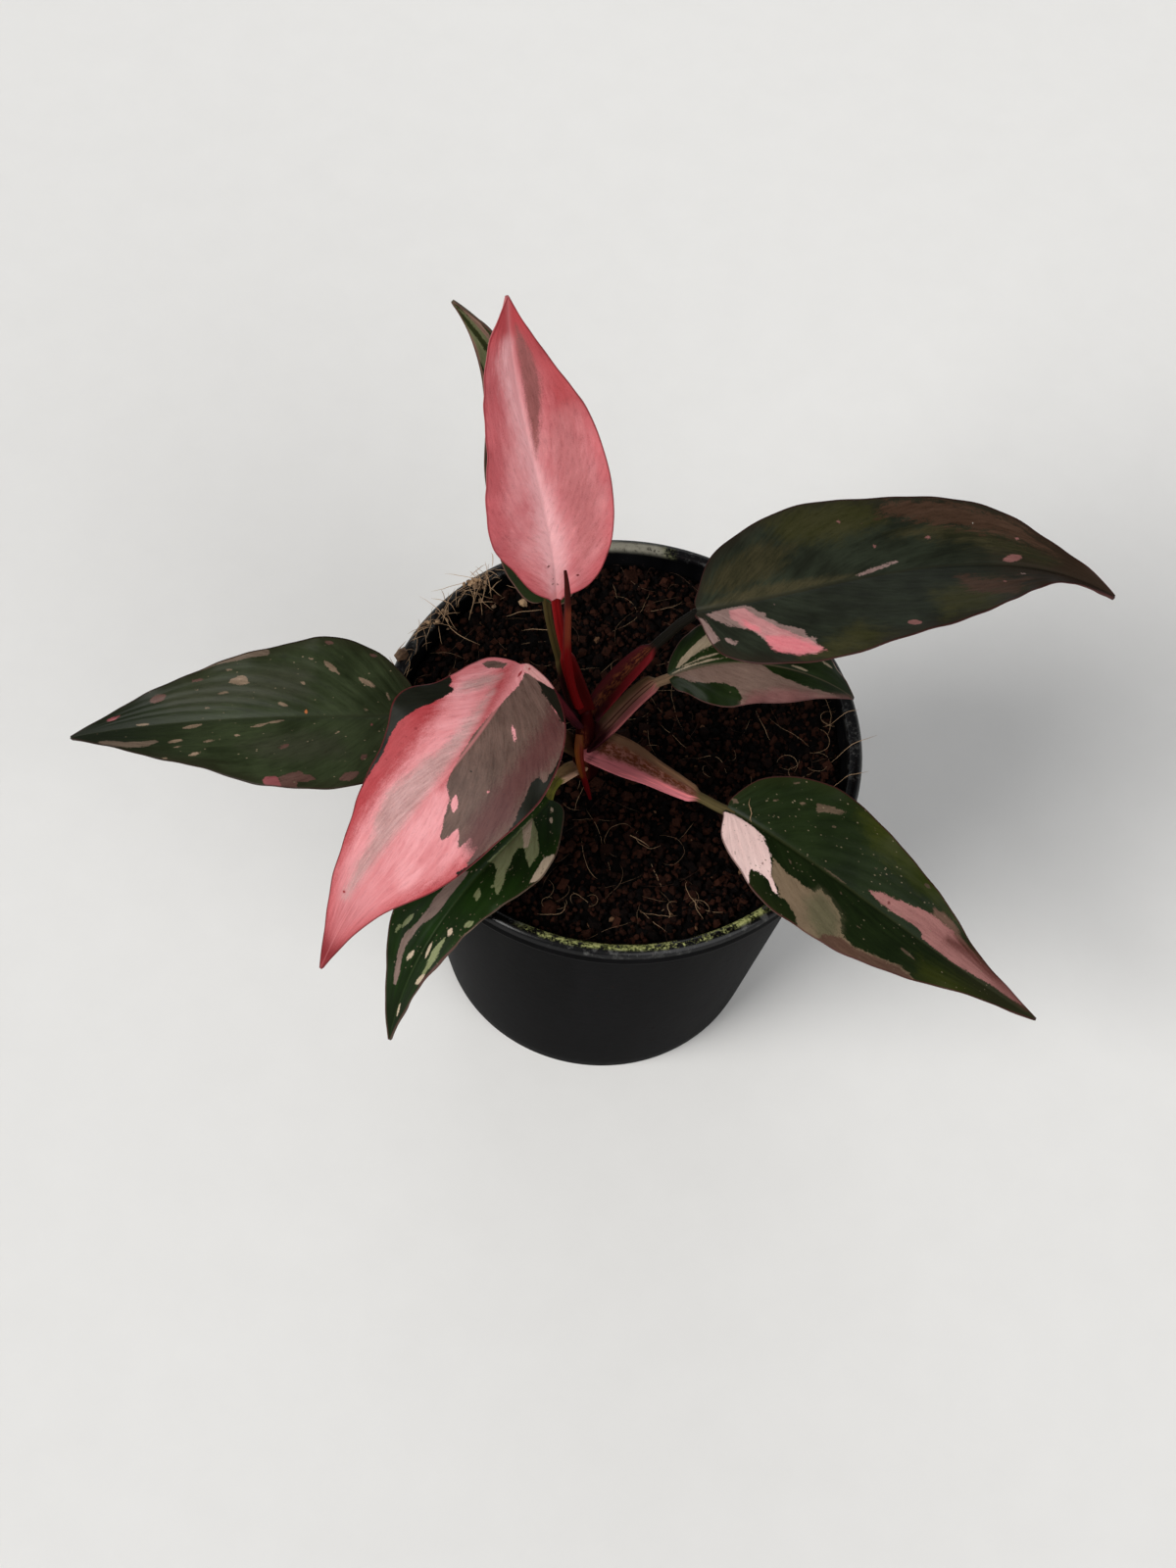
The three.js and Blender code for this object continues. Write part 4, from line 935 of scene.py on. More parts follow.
def pale_floor():
    pale, paint = material("pale_floor")
    grain = paint.noise(paint.place(), 60.0, 4.0, 0.6)
    colour = paint.mix((0.75, 0.745, 0.73), (0.79, 0.785, 0.77), grain)
    paint.finish(colour, 0.55)
    return pale


# ---- Leaf blades ----

VEIN_SPREAD = 2.1  # how far out, in half-widths, a side vein from the very base would run
VEIN_GATHER = 2.2  # power by which later veins keep closer to the midrib
VEIN_RUN = 0.37  # part of the blade over which a vein turns to run along it
VEIN_SPACING = 3.2
VEIN_DEPTH = 0.05
QUILTING = 0.045  # swell of the tissue between side veins
GROOVE_DEPTH = 0.22
WAVE = 0.45  # height of the margin's long waves
RIPPLE = 0.18  # and of its short ones
COLUMNS = 81
ROW_STEP = 0.62
ARC_STEPS = 400
FAR_AWAY = 50.0  # distance to a mark where there is none


def outline_distance(spots, outline):
    """Signed distance from each spot to a closed outline, negative inside."""
    start = np.array(outline, float)
    edge = np.roll(start, -1, axis=0) - start
    reach = spots[:, None, :] - start[None]
    f = np.clip((reach * edge).sum(-1) / (edge**2).sum(-1), 0, 1)
    gap = np.linalg.norm(reach - f[..., None] * edge, axis=-1).min(1)
    end = start + edge
    spans = (start[:, 1] <= spots[:, 1:2]) != (end[:, 1] <= spots[:, 1:2])
    rise = np.where(edge[:, 1] == 0, 1.0, edge[:, 1])
    crossing = start[:, 0] + reach[..., 1] * edge[:, 0] / rise
    inside = (spans & (spots[:, 0:1] < crossing)).sum(1) % 2 == 1
    return np.where(inside, -gap, gap)


def stroke_distance(spots, stroke):
    """Signed distance to a stroke with pointed ends."""
    start, end, width = stroke
    start, edge = np.array(start, float), np.subtract(end, start).astype(float)
    reach = spots - start
    f = np.clip(reach @ edge / max(edge @ edge, 1e-9), 0, 1)
    gap = np.linalg.norm(reach - f[:, None] * edge, axis=-1)
    return gap - 0.5 * width * (1 - 0.72 * np.abs(2 * f - 1) ** 2)


def layer_distance(spots, layer):
    """Signed distance to a layer's patches and strokes, less its bare strokes."""
    distance = np.full(len(spots), FAR_AWAY)
    for outline in layer["patches"]:
        distance = np.minimum(distance, outline_distance(spots, outline))
    for stroke in layer["strokes"]:
        distance = np.minimum(distance, stroke_distance(spots, stroke))
    for stroke in layer["bare"]:
        distance = np.maximum(distance, -stroke_distance(spots, stroke))
    return distance


def vein_origin(s, v):
    """Where on the midrib, as a part of the blade, the side vein through each spot of the blade begins.
    Veins leave the midrib at a slant and bend towards the tip; below 0 they begin at the neck."""
    begins = np.linspace(-0.8, 1, ARC_STEPS)
    spread = VEIN_SPREAD * (1 - begins) ** VEIN_GATHER
    origin = np.empty_like(s)
    for at in np.unique(s):
        row = s == at
        reached = spread * (1 - np.exp(-np.clip(at - begins, 0, None) / VEIN_RUN))
        origin[row] = np.interp(np.abs(v[row]), reached[::-1], begins[::-1])
    return origin


def blade_form(leaf, s, t, v):
    """A blade's smooth upper face at s along its midrib and v across it (-1 to 1), t being the station
    of its half-widths; with each spot's half-width and its place along and across the flattened leaf."""
    middle, tangent, side, normal = frames(leaf["midrib"], s, leaf["face"], np.radians(lerp(leaf["roll"], s)))
    left = station([NECK, *leaf["left"], TIP], t)
    right = station([NECK, *leaf["right"], TIP], t)
    width = np.where(v < 0, left, right)
    fold = np.radians(lerp(leaf["fold"], s))
    forward = (leaf["sweep"] * s - leaf["lobe"] * (1 - s) ** 6) * width * v**2
    across = v * width
    lift = width * (np.abs(v) * np.sin(fold) - leaf["droop"] * v**2)
    form = middle + side * (across * np.cos(fold))[:, None] + normal * lift[:, None]
    form = form + tangent * forward[:, None]
    return form, width, arc_at(leaf["midrib"], s) + forward, across


def blade_relief(leaf, s, v, width, across):
    """Heights of a blade's side veins, of its waved margin and of its whole relief, and the distance
    out to which each spot's side vein would run."""
    origin = vein_origin(s, v)
    vein_place = VEIN_SPREAD * (1 - origin) ** VEIN_GATHER * 0.8 * max(leaf["left"])
    beat = vein_place / VEIN_SPACING + np.where(v < 0, 0.0, 0.37)
    from_vein = np.abs(beat - np.round(beat)) * VEIN_SPACING
    open_blade = smooth(0.0, 3.0, width * (1 - np.abs(v))) * smooth(0.4, 3.0, np.abs(across))
    open_blade = open_blade * smooth(1.0, 0.86, s) * smooth(-0.8, 0.1, origin) * leaf["tissue"]["relief"]
    veins = -VEIN_DEPTH * np.exp(-((from_vein / 0.8) ** 2)) * open_blade
    quilting = QUILTING * np.cos(2 * math.pi * beat + math.pi) * open_blade
    sunk = leaf["tissue"].get("sunk", 1.0)
    groove = -GROOVE_DEPTH * sunk * np.exp(-((across / 0.7) ** 2)) * smooth(1.0, 0.7, s)
    phase = 1.7 * LEAVES.index(leaf)
    wave = WAVE * np.sin(2 * math.pi * s * 4.2 + phase + np.where(v < 0, 0, 2.1)) * np.abs(v) ** 4
    wave = wave + RIPPLE * np.sin(2 * math.pi * s * 11 + phase) * np.abs(v) ** 6
    wave = wave * smooth(0.0, 0.12, s)
    return veins, wave, veins + quilting + groove + wave * smooth(1.0, 0.85, s), vein_place


def doubled(values):
    """Values for both faces of a shell."""
    return np.concatenate([values, values])


def blade(leaf):
    """A blade as a closed shell: the part's form, with the midrib sunk above and standing out below,
    side veins, a gently waved margin and a thin edge."""
    length = arc_length(leaf["midrib"])
    rows = int(length / ROW_STEP)
    t, v = np.meshgrid(np.linspace(0, 1, rows), np.linspace(-1, 1, COLUMNS), indexing="ij")
    t, v = t.ravel(), v.ravel()
    s = 1 - np.cos(t * math.pi / 2)
    form, width, reach, across = blade_form(leaf, s, t, v)
    veins, wave, relief, vein_place = blade_relief(leaf, s, v, width, across)

    facing = grid_normals(form.reshape(rows, COLUMNS, 3)).reshape(-1, 3)
    upper = form + facing * relief[:, None]
    thickness = EDGE_THICKNESS + (BLADE_THICKNESS - EDGE_THICKNESS) * smooth(1.0, 0.6, np.abs(v))
    rib = RIB_DEPTH * (1 - t) * np.exp(-((across / 1.1) ** 2)) + 0.25 * np.exp(-((across / 0.9) ** 2))
    lower = form - facing * (thickness + rib - wave - veins)[:, None]

    count = rows * COLUMNS
    faces = grid_faces(rows, COLUMNS)
    faces = faces + [[a + count, d + count, c + count, b + count] for a, b, c, d in faces]
    rim = rim_loop(rows, COLUMNS)
    for p, q in zip(rim, np.roll(rim, -1)):
        faces.append([int(q), int(p), int(p) + count, int(q) + count])

    flat = np.stack([reach, across, 0 * s], -1)
    vein = np.stack([vein_place, reach + 0.5 * np.abs(across), np.where(v < 0, 40.0, 80.0)], -1)
    attributes = {
        "flat": doubled(flat),
        "vein": doubled(vein),
        "along": doubled(s),
        "midline": doubled(np.abs(across)),
        "margin": doubled(np.minimum(width * (1 - np.abs(v)), (1 - s) * length + 0.3)),
        "under": np.concatenate([0 * s, 0 * s + 1]),
    }
    for number, layer in enumerate(leaf["layers"]):
        attributes[f"layer_{number}"] = doubled(layer_distance(flat[:, :2], layer))
    points = np.concatenate([upper, lower])
    made = add_mesh(leaf["name"] + "_leaf", points, faces, leaf_tissue(leaf), attributes)
    return seat(made, leaf["slots"][0], f"leaf_{leaf['name']}_blade")


def on_blade(leaf, x, y):
    """A spot just over a blade's upper face, x along and y across the flattened leaf."""
    steps = np.linspace(0, 1, ARC_STEPS)
    s = np.interp([x], arc_at(leaf["midrib"], steps), steps)
    middle, _, side, normal = frames(leaf["midrib"], s, leaf["face"], np.radians(lerp(leaf["roll"], s)))
    fold = np.radians(lerp(leaf["fold"], s))
    lift = abs(y) * np.sin(fold) - leaf["droop"] * y * y / max(leaf["left"]) + 0.25
    return (middle + side * (y * np.cos(fold))[:, None] + normal * lift[:, None])[0]


def arc_at(points, s):
    """Distance along a Bezier at s."""
    steps = np.linspace(0, 1, ARC_STEPS)
    at, _ = bezier(points, steps)
    reached = np.concatenate([[0], np.cumsum(np.linalg.norm(np.diff(at, axis=0), axis=1))])
    return np.interp(s, steps, reached)


def arc_length(points):
    return float(arc_at(points, np.array([1.0]))[0])


def grid_normals(grid):
    """Unit normals of a grid of points, on the side that the blade's upper face looks."""
    down = np.gradient(grid, axis=0)
    across = np.gradient(grid, axis=1)
    return unit(np.cross(across, down))


def rim_loop(rows, columns):
    """The border of a grid, once round."""
    top = list(range(columns))
    right = [i * columns + columns - 1 for i in range(1, rows)]
    bottom = [(rows - 1) * columns + j for j in range(columns - 2, -1, -1)]
    left = [i * columns for i in range(rows - 2, 0, -1)]
    return np.array(top + right + bottom + left)


# ---- Stalks ----

STALK_STEPS = 110
STALK_SIDES = 40
STALK_THICKNESS = 1.25
TUCK = 1.1  # how far a stalk's end lies under its blade
DOME = (30, 55, 75)  # slopes, in degrees, of the rings that round the stem off


def carried_on(values, extra):
    """An array with more rows that repeat its last."""
    return np.concatenate([values, np.repeat(values[-1:], extra, axis=0)])


def loft(name, points, widths, thickness, cup, opening, skin, groove=0.0, ends=None, end=None,
         tuck=None, domed=False):
    """A stalk or sheath along a Bezier: the part's section, with a groove along its open side.
    ends is the share of the length where the sheath's wings stop; end is a last ring's middle, so that
    a stalk runs on into its blade; tuck is the way in which its top bends under it, and domed rounds
    the top off."""
    s = np.linspace(0, 1, STALK_STEPS)
    middle, tangent, side, normal = frames(points, s, opening)
    if tuck is not None:
        middle = middle + tuck * (TUCK * smooth(0.84, 1.0, s))[:, None]
    half = station(widths, s)
    bare = widths[-1]
    if ends is not None:
        blunt = (1 + 0.14 * smooth(ends - 0.3, ends - 0.04, s)) * smooth(ends + 0.03, ends - 0.03, s)
        half = np.minimum(half, bare) + np.maximum(half - bare, 0) * blunt
    thin = np.minimum(half, thickness)
    bend = cup * np.minimum(1, half / max(widths)) ** 2
    winged = np.clip((half - bare) / max(max(widths) - bare, 0.1), 0, 1)
    if end is not None:
        middle = np.concatenate([middle, [end]])
        half, thin = (np.concatenate([a, 0.8 * a[-1:]]) for a in (half, thin))
        side, normal, bend, winged, s = (carried_on(a, 1) for a in (side, normal, bend, winged, s))
    if domed:
        lean = np.radians(DOME)
        top = middle[-1:] + tangent[-1:] * (0.7 * half[-1] * np.sin(lean))[:, None]
        middle = np.concatenate([middle, top])
        half, thin = (np.concatenate([a, a[-1] * np.cos(lean)]) for a in (half, thin))
        side, normal, bend, winged, s = (carried_on(a, len(DOME)) for a in (side, normal, bend, winged, s))

    angle = np.linspace(0, 2 * math.pi, STALK_SIDES, endpoint=False)
    cos, sin = np.cos(angle), np.sin(angle)
    across = half[:, None] * (cos - 0.07 * winged[:, None] * cos**5)
    up = thin[:, None] * sin + bend[:, None] * cos**2
    depth = thin * groove * (0.4 + 0.9 * winged)
    trough = np.exp(-((cos[None] / (0.26 + 0.30 * winged[:, None])) ** 2)) * np.clip(sin * 3, 0, 1)
    up = up - depth[:, None] * trough
    rings = middle[:, None] + side[:, None] * across[..., None] + normal[:, None] * up[..., None]

    rows = len(rings)
    around, down = np.ones(STALK_SIDES), np.ones(rows)
    way = np.stack([np.outer(arc_at(points, s), around), np.outer(down, cos), np.outer(down, sin)], -1)
    attributes = {
        "way": way.reshape(-1, 3),
        "share": np.outer(s, around).ravel(),
        "upper": np.outer(down, np.clip(sin * 4, 0, 1)).ravel(),
    }
    return add_mesh(name, rings.reshape(-1, 3), tube_faces(rows, STALK_SIDES), skin, attributes)


def petiole(leaf):
    """A leaf's stalk and sheath, run on under its blade's midrib."""
    look = leaf["stalk"]
    name = leaf["name"] + "_stalk"
    near_base = np.array([0.035])
    middle, _, _, normal = frames(leaf["midrib"], near_base, leaf["face"], np.radians(leaf["roll"][0]))
    made = loft(name, leaf["petiole"], leaf["sheath"], STALK_THICKNESS, leaf["cup"], leaf["opening"],
                stalk_skin(name, look), groove=look["groove"], ends=look["ends"],
                end=middle[0] - normal[0] * TUCK, tuck=-normal[0])
    return seat(made, leaf["slots"][1], f"leaf_{leaf['name']}_petiole")


def cataphyll(sheath):
    skin = stalk_skin(sheath["piece"], sheath["stalk"])
    made = loft(sheath["piece"], sheath["path"], sheath["widths"], sheath["thickness"], sheath["cup"],
                sheath["opening"], skin, groove=0.3)
    return seat(made, sheath["slot"], sheath["name"])


def stem():
    skin = stalk_skin("main_stem", STEM["stalk"])
    radii = STEM["radii"]
    made = loft("main_stem", STEM["path"], radii, max(radii), 0, [0, -1, 0], skin, domed=True)
    return seat(made, "red_stalk", "stem")


# ---- Pot ----

POT_SIDES = 192
DRAIN_SIDES = 32


def inner_wall(z):
    """Inside radius of the pot's wall at height z."""
    slope = (POT["shoulder_radius"] - POT["foot_radius"]) / (POT["height"] - POT["skirt"])
    return POT["foot_radius"] + slope * z - POT["wall"]


def pot_profile():
    """The part's profile from the foot's middle round to the floor's middle, with rounded corners."""
    foot, rim, roll, bottom = POT["foot_radius"], POT["rim_radius"], POT["rim_roll"], POT["floor"]
    ring, pad, recess = foot - POT["foot_ring"], POT["pad_radius"], POT["recess"]
    under = POT["height"] - POT["skirt"]
    points = [(0, 0), (pad, 0), (pad + 0.9, 0.5), (pad + 1.5, recess), (ring - 1.5, recess)]
    points += [(ring - 0.6, 0.5), (ring, 0), (foot - 0.8, 0), (foot - 0.25, 0.25), (foot, 0.8)]
    points += [(inner_wall(z) + POT["wall"], z) for z in np.linspace(6, under - 3, 12)]
    points += [(POT["shoulder_radius"], under + 0.4), (rim - 1.2, under + 0.2), (rim - 0.5, under)]
    points += [(rim - 0.1, under + 0.3), (rim, under + 0.9), (rim - 0.05, under + 2.0)]
    for angle in np.linspace(0, math.pi, 15):
        points.append((rim - roll + roll * math.cos(angle), POT["height"] - roll + roll * math.sin(angle)))
    points += [(rim - 2 * roll, under + 0.6), (inner_wall(under - 2), under - 2)]
    points += [(inner_wall(z), z) for z in np.linspace(under - 8, bottom + 4, 10)]
    points += [(inner_wall(bottom + 2), bottom + 2), (inner_wall(bottom) - 1.5, bottom), (0, bottom)]
    return points


def pot():
    """The pot's wall, foot, floor and rim, turned as one mesh and drilled."""
    ring = pot_profile()[1:-1]
    angle = np.linspace(0, 2 * math.pi, POT_SIDES, endpoint=False)
    radius = np.array([r for r, _ in ring])[:, None]
    height = np.array([z for _, z in ring])[:, None] * np.ones(POT_SIDES)
    points = np.stack([radius * np.cos(angle), radius * np.sin(angle), height], -1).reshape(-1, 3)
    made = add_mesh("nursery_pot", points, tube_faces(len(ring), POT_SIDES), pot_plastic())
    drill_drains(made)
    made.data.set_sharp_from_angle(angle=math.radians(50))
    return seat(made, "pot_plastic", "pot")


def drill_drains(made):
    """Round drain holes through the floor, cut with one exact Boolean."""
    points, faces = [], []
    radius, reach = POT["drain_radius"], POT["drain_circle"]
    angle = np.linspace(0, 2 * math.pi, DRAIN_SIDES, endpoint=False)
    for k in range(POT["drain_holes"]):
        turn = 2 * math.pi * k / POT["drain_holes"]
        x, y = reach * math.cos(turn), reach * math.sin(turn)
        faces += tube_faces(2, DRAIN_SIDES, len(points))
        for z in (-POT["floor"], 2 * POT["floor"]):
            points += [(x + radius * math.cos(a), y + radius * math.sin(a), z) for a in angle]
    drill = add_mesh("drain_drill", points, faces, made.data.materials[0])
    cut = made.modifiers.new("drains", "BOOLEAN")
    cut.operation = "DIFFERENCE"
    cut.solver = "EXACT"
    cut.object = drill
    apply_modifiers(made)
    bpy.data.objects.remove(drill)


def apply_modifiers(made):
    bpy.context.view_layer.update()
    done = made.evaluated_get(bpy.context.evaluated_depsgraph_get())
    mesh = bpy.data.meshes.new_from_object(done)
    made.modifiers.clear()
    made.data = mesh


# ---- Potting mix ----

CHIPS = 9200
CHUNKS = 420
CRUMBS = 44
FIBRES = 170
STRAW_REACH = 72  # how far out from the pot's middle a straw may lie
BED_RINGS = 64
BED_SIDES = 180
# Tangles of straw by the rim at the back left: middle, spread along the rim, and number of short fibres.
CLUMPS = [((-43.5, 44.0), 4.2, 46), ((-52.5, 31.5), 3.0, 20), ((-59.0, 19.0), 2.5, 9)]
# Single straws, each from one spot of the mix or rim to another.
STRAWS = [
    ((-55.9, 39.7), (-42.0, 44.4)), ((-52.9, 46.0), (-41.0, 46.6)), ((-58.9, 37.7), (-40.0, 26.6)),
    ((-58.3, 30.4), (-55.5, 23.1)), ((-34.9, 37.0), (-24.3, 39.0)), ((-55.7, 37.5), (-48.2, 34.0)),
    ((-44.0, 44.0), (-43.4, 34.0)), ((-63.4, 17.9), (-60.0, 22.0)), ((3.4, -26.3), (10.6, -28.8)),
    ((-30.0, 33.0), (-17.0, 35.5)),
]
# Places with curled fibres: middle, number and mean length.
CURLED = [
    ((-13, -49), 8, 8), ((21, -47), 9, 9), ((50, 2), 8, 12), ((56, 20), 5, 10), ((30, -2), 3, 9),
    ((8, -27), 3, 14),
]
# Fibres that reach over the rim: degrees round the pot from the right, and length.
OVER_RIM = [(188, 13), (172, 10), (196, 8), (2, 14), (354, 11), (14, 9)]
# A fibre that lies on the lower right blade, along and across it.
STRAND = [(4, -5), (4.4, -3.6), (5.4, -2.7), (6.3, -1.8), (6.6, -0.6), (7.4, 0.2)]


def soil_height(x, y):
    """The mix's mean height: slow waves and a low mound round the stem."""
    stem_x, stem_y, _ = STEM["path"][1]
    waves = 0.8 * np.sin(0.09 * x + 1) * np.cos(0.08 * y) - 0.012 * x
    return SOIL["level"] + waves + SOIL["crown"] * np.exp(-np.hypot(x - stem_x, y - stem_y) / 18)


def lumpy(x, y, size):
    """Smooth noise at spots of the mix, with lumps of a size."""
    return np.array([noise.noise((a / size, b / size, 3.1)) for a, b in zip(np.ravel(x), np.ravel(y))])


def soil():
    """The bed under the chips: a fine uneven surface down to the pot's floor."""
    rings, sides, gap = BED_RINGS, BED_SIDES, SOIL["gap"]
    share = np.linspace(1 / rings, 1, rings)[:, None]
    angle = np.linspace(0, 2 * math.pi, sides, endpoint=False)
    top = (inner_wall(SOIL["level"]) - gap) * share
    x, y = (top * np.cos(angle)).ravel(), (top * np.sin(angle)).ravel()
    z = soil_height(x, y) + 0.7 * lumpy(x, y, 3.0) + 0.5 * lumpy(x, y, 1.3) - 0.5
    points = [np.stack([x, y, z], -1)]
    low = POT["floor"] + gap
    for radius, level in ((inner_wall(low + 2) - gap, low + 2), (inner_wall(low + 2) - (gap + 2), low)):
        points.append(np.stack([radius * np.cos(angle), radius * np.sin(angle), np.full(sides, level)], -1))
    points.append([[0, 0, float(soil_height(0.0, 0.0))]])
    points = np.concatenate(points)
    faces = [[d, c, b, a] for a, b, c, d in grid_faces(rings + 2, sides, wrap=True)]
    faces += [[len(points) - 1, k, (k + 1) % sides] for k in range(sides)]
    faces.append(list(range((rings + 2) * sides - 1, (rings + 1) * sides - 1, -1)))
    # The bed takes the near-black end of the mix: partly the dark coir under the chips, partly painted shade
    # of the deep gaps between them.
    made = add_mesh("potting_mix_bed", points, faces, SOIL_MIX, {"tone": np.full(len(points), 0.02)})
    return seat(made, "potting_mix", "soil")


# A square-edged bit of bark.
BOX = np.array([(x, y, z) for x in (-1, 1) for y in (-1, 1) for z in (-1, 1)], float) * 0.62
BOX_FACES = [(0, 1, 3, 2), (4, 6, 7, 5), (0, 4, 5, 1), (2, 3, 7, 6), (0, 2, 6, 4), (1, 5, 7, 3)]


def granule():
    """Points and faces of a twenty-sided ball."""
    ball = bmesh.new()
    bmesh.ops.create_icosphere(ball, subdivisions=1, radius=1)
    points = np.array([v.co for v in ball.verts])
    faces = [[v.index for v in face.verts] for face in ball.faces]
    ball.free()
    return points, faces


def turned(count, random):
    """Random rotation matrices."""
    q = unit(random.normal(size=(count, 4)))
    w, x, y, z = q.T
    return np.stack([
        np.stack([1 - 2 * (y * y + z * z), 2 * (x * y - z * w), 2 * (x * z + y * w)], -1),
        np.stack([2 * (x * y + z * w), 1 - 2 * (x * x + z * z), 2 * (y * z - x * w)], -1),
        np.stack([2 * (x * z - y * w), 2 * (y * z + x * w), 1 - 2 * (x * x + y * y)], -1),
    ], 1)


def scatter(name, shape, shape_faces, spots, sizes, tones, random, surface):
    """Jittered copies of a small shape, fused in one mesh of the potting mix."""
    count = len(spots)
    body = shape[None] * (1 + random.uniform(-0.24, 0.24, (count, len(shape), 3)))
    body = np.einsum("nij,nkj->nki", turned(count, random), body * sizes[:, None])
    points = (body + spots[:, None]).reshape(-1, 3)
    first = np.arange(count)[:, None, None] * len(shape)
    faces = (np.array(shape_faces)[None] + first).reshape(-1, len(shape_faces[0])).tolist()
    tone = {"tone": np.repeat(tones, len(shape))}
    seat(add_mesh(name, points, faces, surface, tone, smooth_shaded=False), "potting_mix")


def uneven(count, typical, variety, low, high, random):
    """Random sizes, each with its three sides made shorter or longer by low to high."""
    size = random.lognormal(math.log(typical), variety, count)
    return size[:, None] * random.uniform(low, high, (count, 3))


def spread(count, radius, random):
    """Random spots over a disc."""
    r = radius * np.sqrt(random.uniform(0, 1, count))
    turn = random.uniform(0, 2 * math.pi, count)
    return r * np.cos(turn), r * np.sin(turn)


def chips():
    """Loose granules of coir and bark, larger square-edged bark bits, and tan crumbs at the back left."""
    random = np.random.default_rng(21)
    radius = inner_wall(SOIL["level"])
    ball, ball_faces = granule()
    x, y = spread(CHIPS, radius - 1.3, random)
    z = soil_height(x, y) + random.uniform(-0.7, 0.6, CHIPS)
    size = uneven(CHIPS, 0.64, 0.32, 0.6, 1.35, random)
    tone = np.clip(random.beta(1.3, 2.0, CHIPS), 0, 0.86)
    tone[random.uniform(size=CHIPS) < 0.006] = 0.94
    scatter("coir_granules", ball, ball_faces, np.stack([x, y, z], -1), size, tone, random, SOIL_MIX)

    x, y = spread(CHUNKS, radius - 2.6, random)
    z = soil_height(x, y) + random.uniform(0.0, 0.9, CHUNKS)
    size = uneven(CHUNKS, 1.25, 0.25, 0.5, 1.4, random)
    tone = np.clip(random.beta(2.0, 1.8, CHUNKS), 0, 0.86)
    scatter("bark_bits", BOX, BOX_FACES, np.stack([x, y, z], -1), size, tone, random, SOIL_MIX)

    middles = np.array([CLUMPS[k][0] for k in random.choice(3, CRUMBS, p=(0.5, 0.4, 0.1))])
    x, y = middles[:, 0] + random.normal(0, 1.8, CRUMBS), middles[:, 1] + random.normal(0, 1.5, CRUMBS)
    x[:3], y[:3] = (-30.6, -29.8, -38.5), (42.1, 41.5, 40.0)
    reach = np.minimum(np.hypot(x, y), 64.0)
    turn = np.arctan2(y, x)
    x, y = reach * np.cos(turn), reach * np.sin(turn)
    z = soil_height(x, y) + 0.8
    z = z + (POT["height"] + 0.35 - z) * smooth(58.0, 61.5, reach)
    size = uneven(CRUMBS, 0.60, 0.40, 0.6, 1.4, random)
    tone = random.uniform(0.35, 0.85, CRUMBS)
    scatter("tan_crumbs", ball, ball_faces, np.stack([x, y, z], -1), size, tone, random, STRAW)


def tube(path, radius, sides=4):
    """Points and faces of a thin tube with pointed ends."""
    path = np.asarray(path, float)
    way = unit(np.gradient(path, axis=0) + 1e-9)
    helper = np.where(np.abs(way[:, 2:3]) < 0.9, [[0, 0, 1.0]], [[1.0, 0, 0]])
    side = unit(np.cross(way, helper))
    up = np.cross(side, way)
    angle = np.linspace(0, 2 * math.pi, sides, endpoint=False)[None, :, None]
    from_end = np.minimum(np.linspace(0, 1, len(path)), np.linspace(1, 0, len(path)))
    taper = np.minimum(1, 0.25 + 3 * from_end)
    ring = side[:, None] * np.cos(angle) + up[:, None] * np.sin(angle)
    points = (path[:, None] + ring * (radius * taper)[:, None, None]).reshape(-1, 3)
    return points, tube_faces(len(path), sides)


def curl(start, heading, length, bend, random, rise, steps=12):
    """A wandering line over the mix: heading in radians, bend in radians over its length, and rise the
    height of its middle over the mix."""
    step = length / steps
    x, y = start
    limit = inner_wall(SOIL["level"]) - 1.0
    line = []
    for k in range(steps + 1):
        hump = rise * math.sin(math.pi * k / steps)
        line.append((x, y, float(soil_height(x, y)) + 0.75 + hump))
        heading += bend / steps + random.normal(0, 0.12)
        x += step * math.cos(heading)
        y += step * math.sin(heading)
        reach = math.hypot(x, y)
        if reach > limit:
            x, y = x * limit / reach, y * limit / reach
    return line


def loose_fibres(random):
    """Long thin fibres that lie anywhere over the mix, each as a line, its radius and its tone."""
    lines = []
    for _ in range(FIBRES):
        start = [float(a[0]) for a in spread(1, 57, random)]
        length = random.lognormal(math.log(9), 0.5)
        heading, bend = random.uniform(0, 2 * math.pi), random.normal(0, 0.7)
        line = curl(start, heading, length, bend, random, random.uniform(0, 0.6))
        lines.append((line, random.uniform(0.03, 0.065), random.uniform(0.0, 0.80)))
    return lines


def curled_fibres(random):
    """Curled fibres in a few places near the rim."""
    lines = []
    for centre, number, length in CURLED:
        for _ in range(number):
            start = (centre[0] + random.normal(0, 3.2), centre[1] + random.normal(0, 2.6))
            bend = random.choice([-1, 1]) * random.uniform(0.8, 4.2)
            heading, long = random.uniform(0, 2 * math.pi), length * random.uniform(0.6, 1.3)
            line = curl(start, heading, long, bend, random, random.uniform(0.2, 1.2), steps=18)
            lines.append((line, random.uniform(0.035, 0.07), random.uniform(0.4, 1.0)))
    return lines


def tangled_straw(random):
    """The tangles of short straw over the rim at the back left."""
    lines = []
    for middle, aside, number in CLUMPS:
        along_rim = math.atan2(-middle[0], middle[1])
        cos, sin = math.cos(along_rim), math.sin(along_rim)
        for _ in range(number):
            away, over = random.normal(0, aside), random.normal(0.0, 1.6)
            start = (middle[0] + away * cos - over * sin, middle[1] + away * sin + over * cos)
            heading = along_rim + random.normal(0, 0.8) + random.choice([0, math.pi])
            line = straw_over_rim(start, heading, random.uniform(2.5, 7), random)
            lines.append((line, random.uniform(0.05, 0.11), random.uniform(0.55, 1.0)))
    return lines


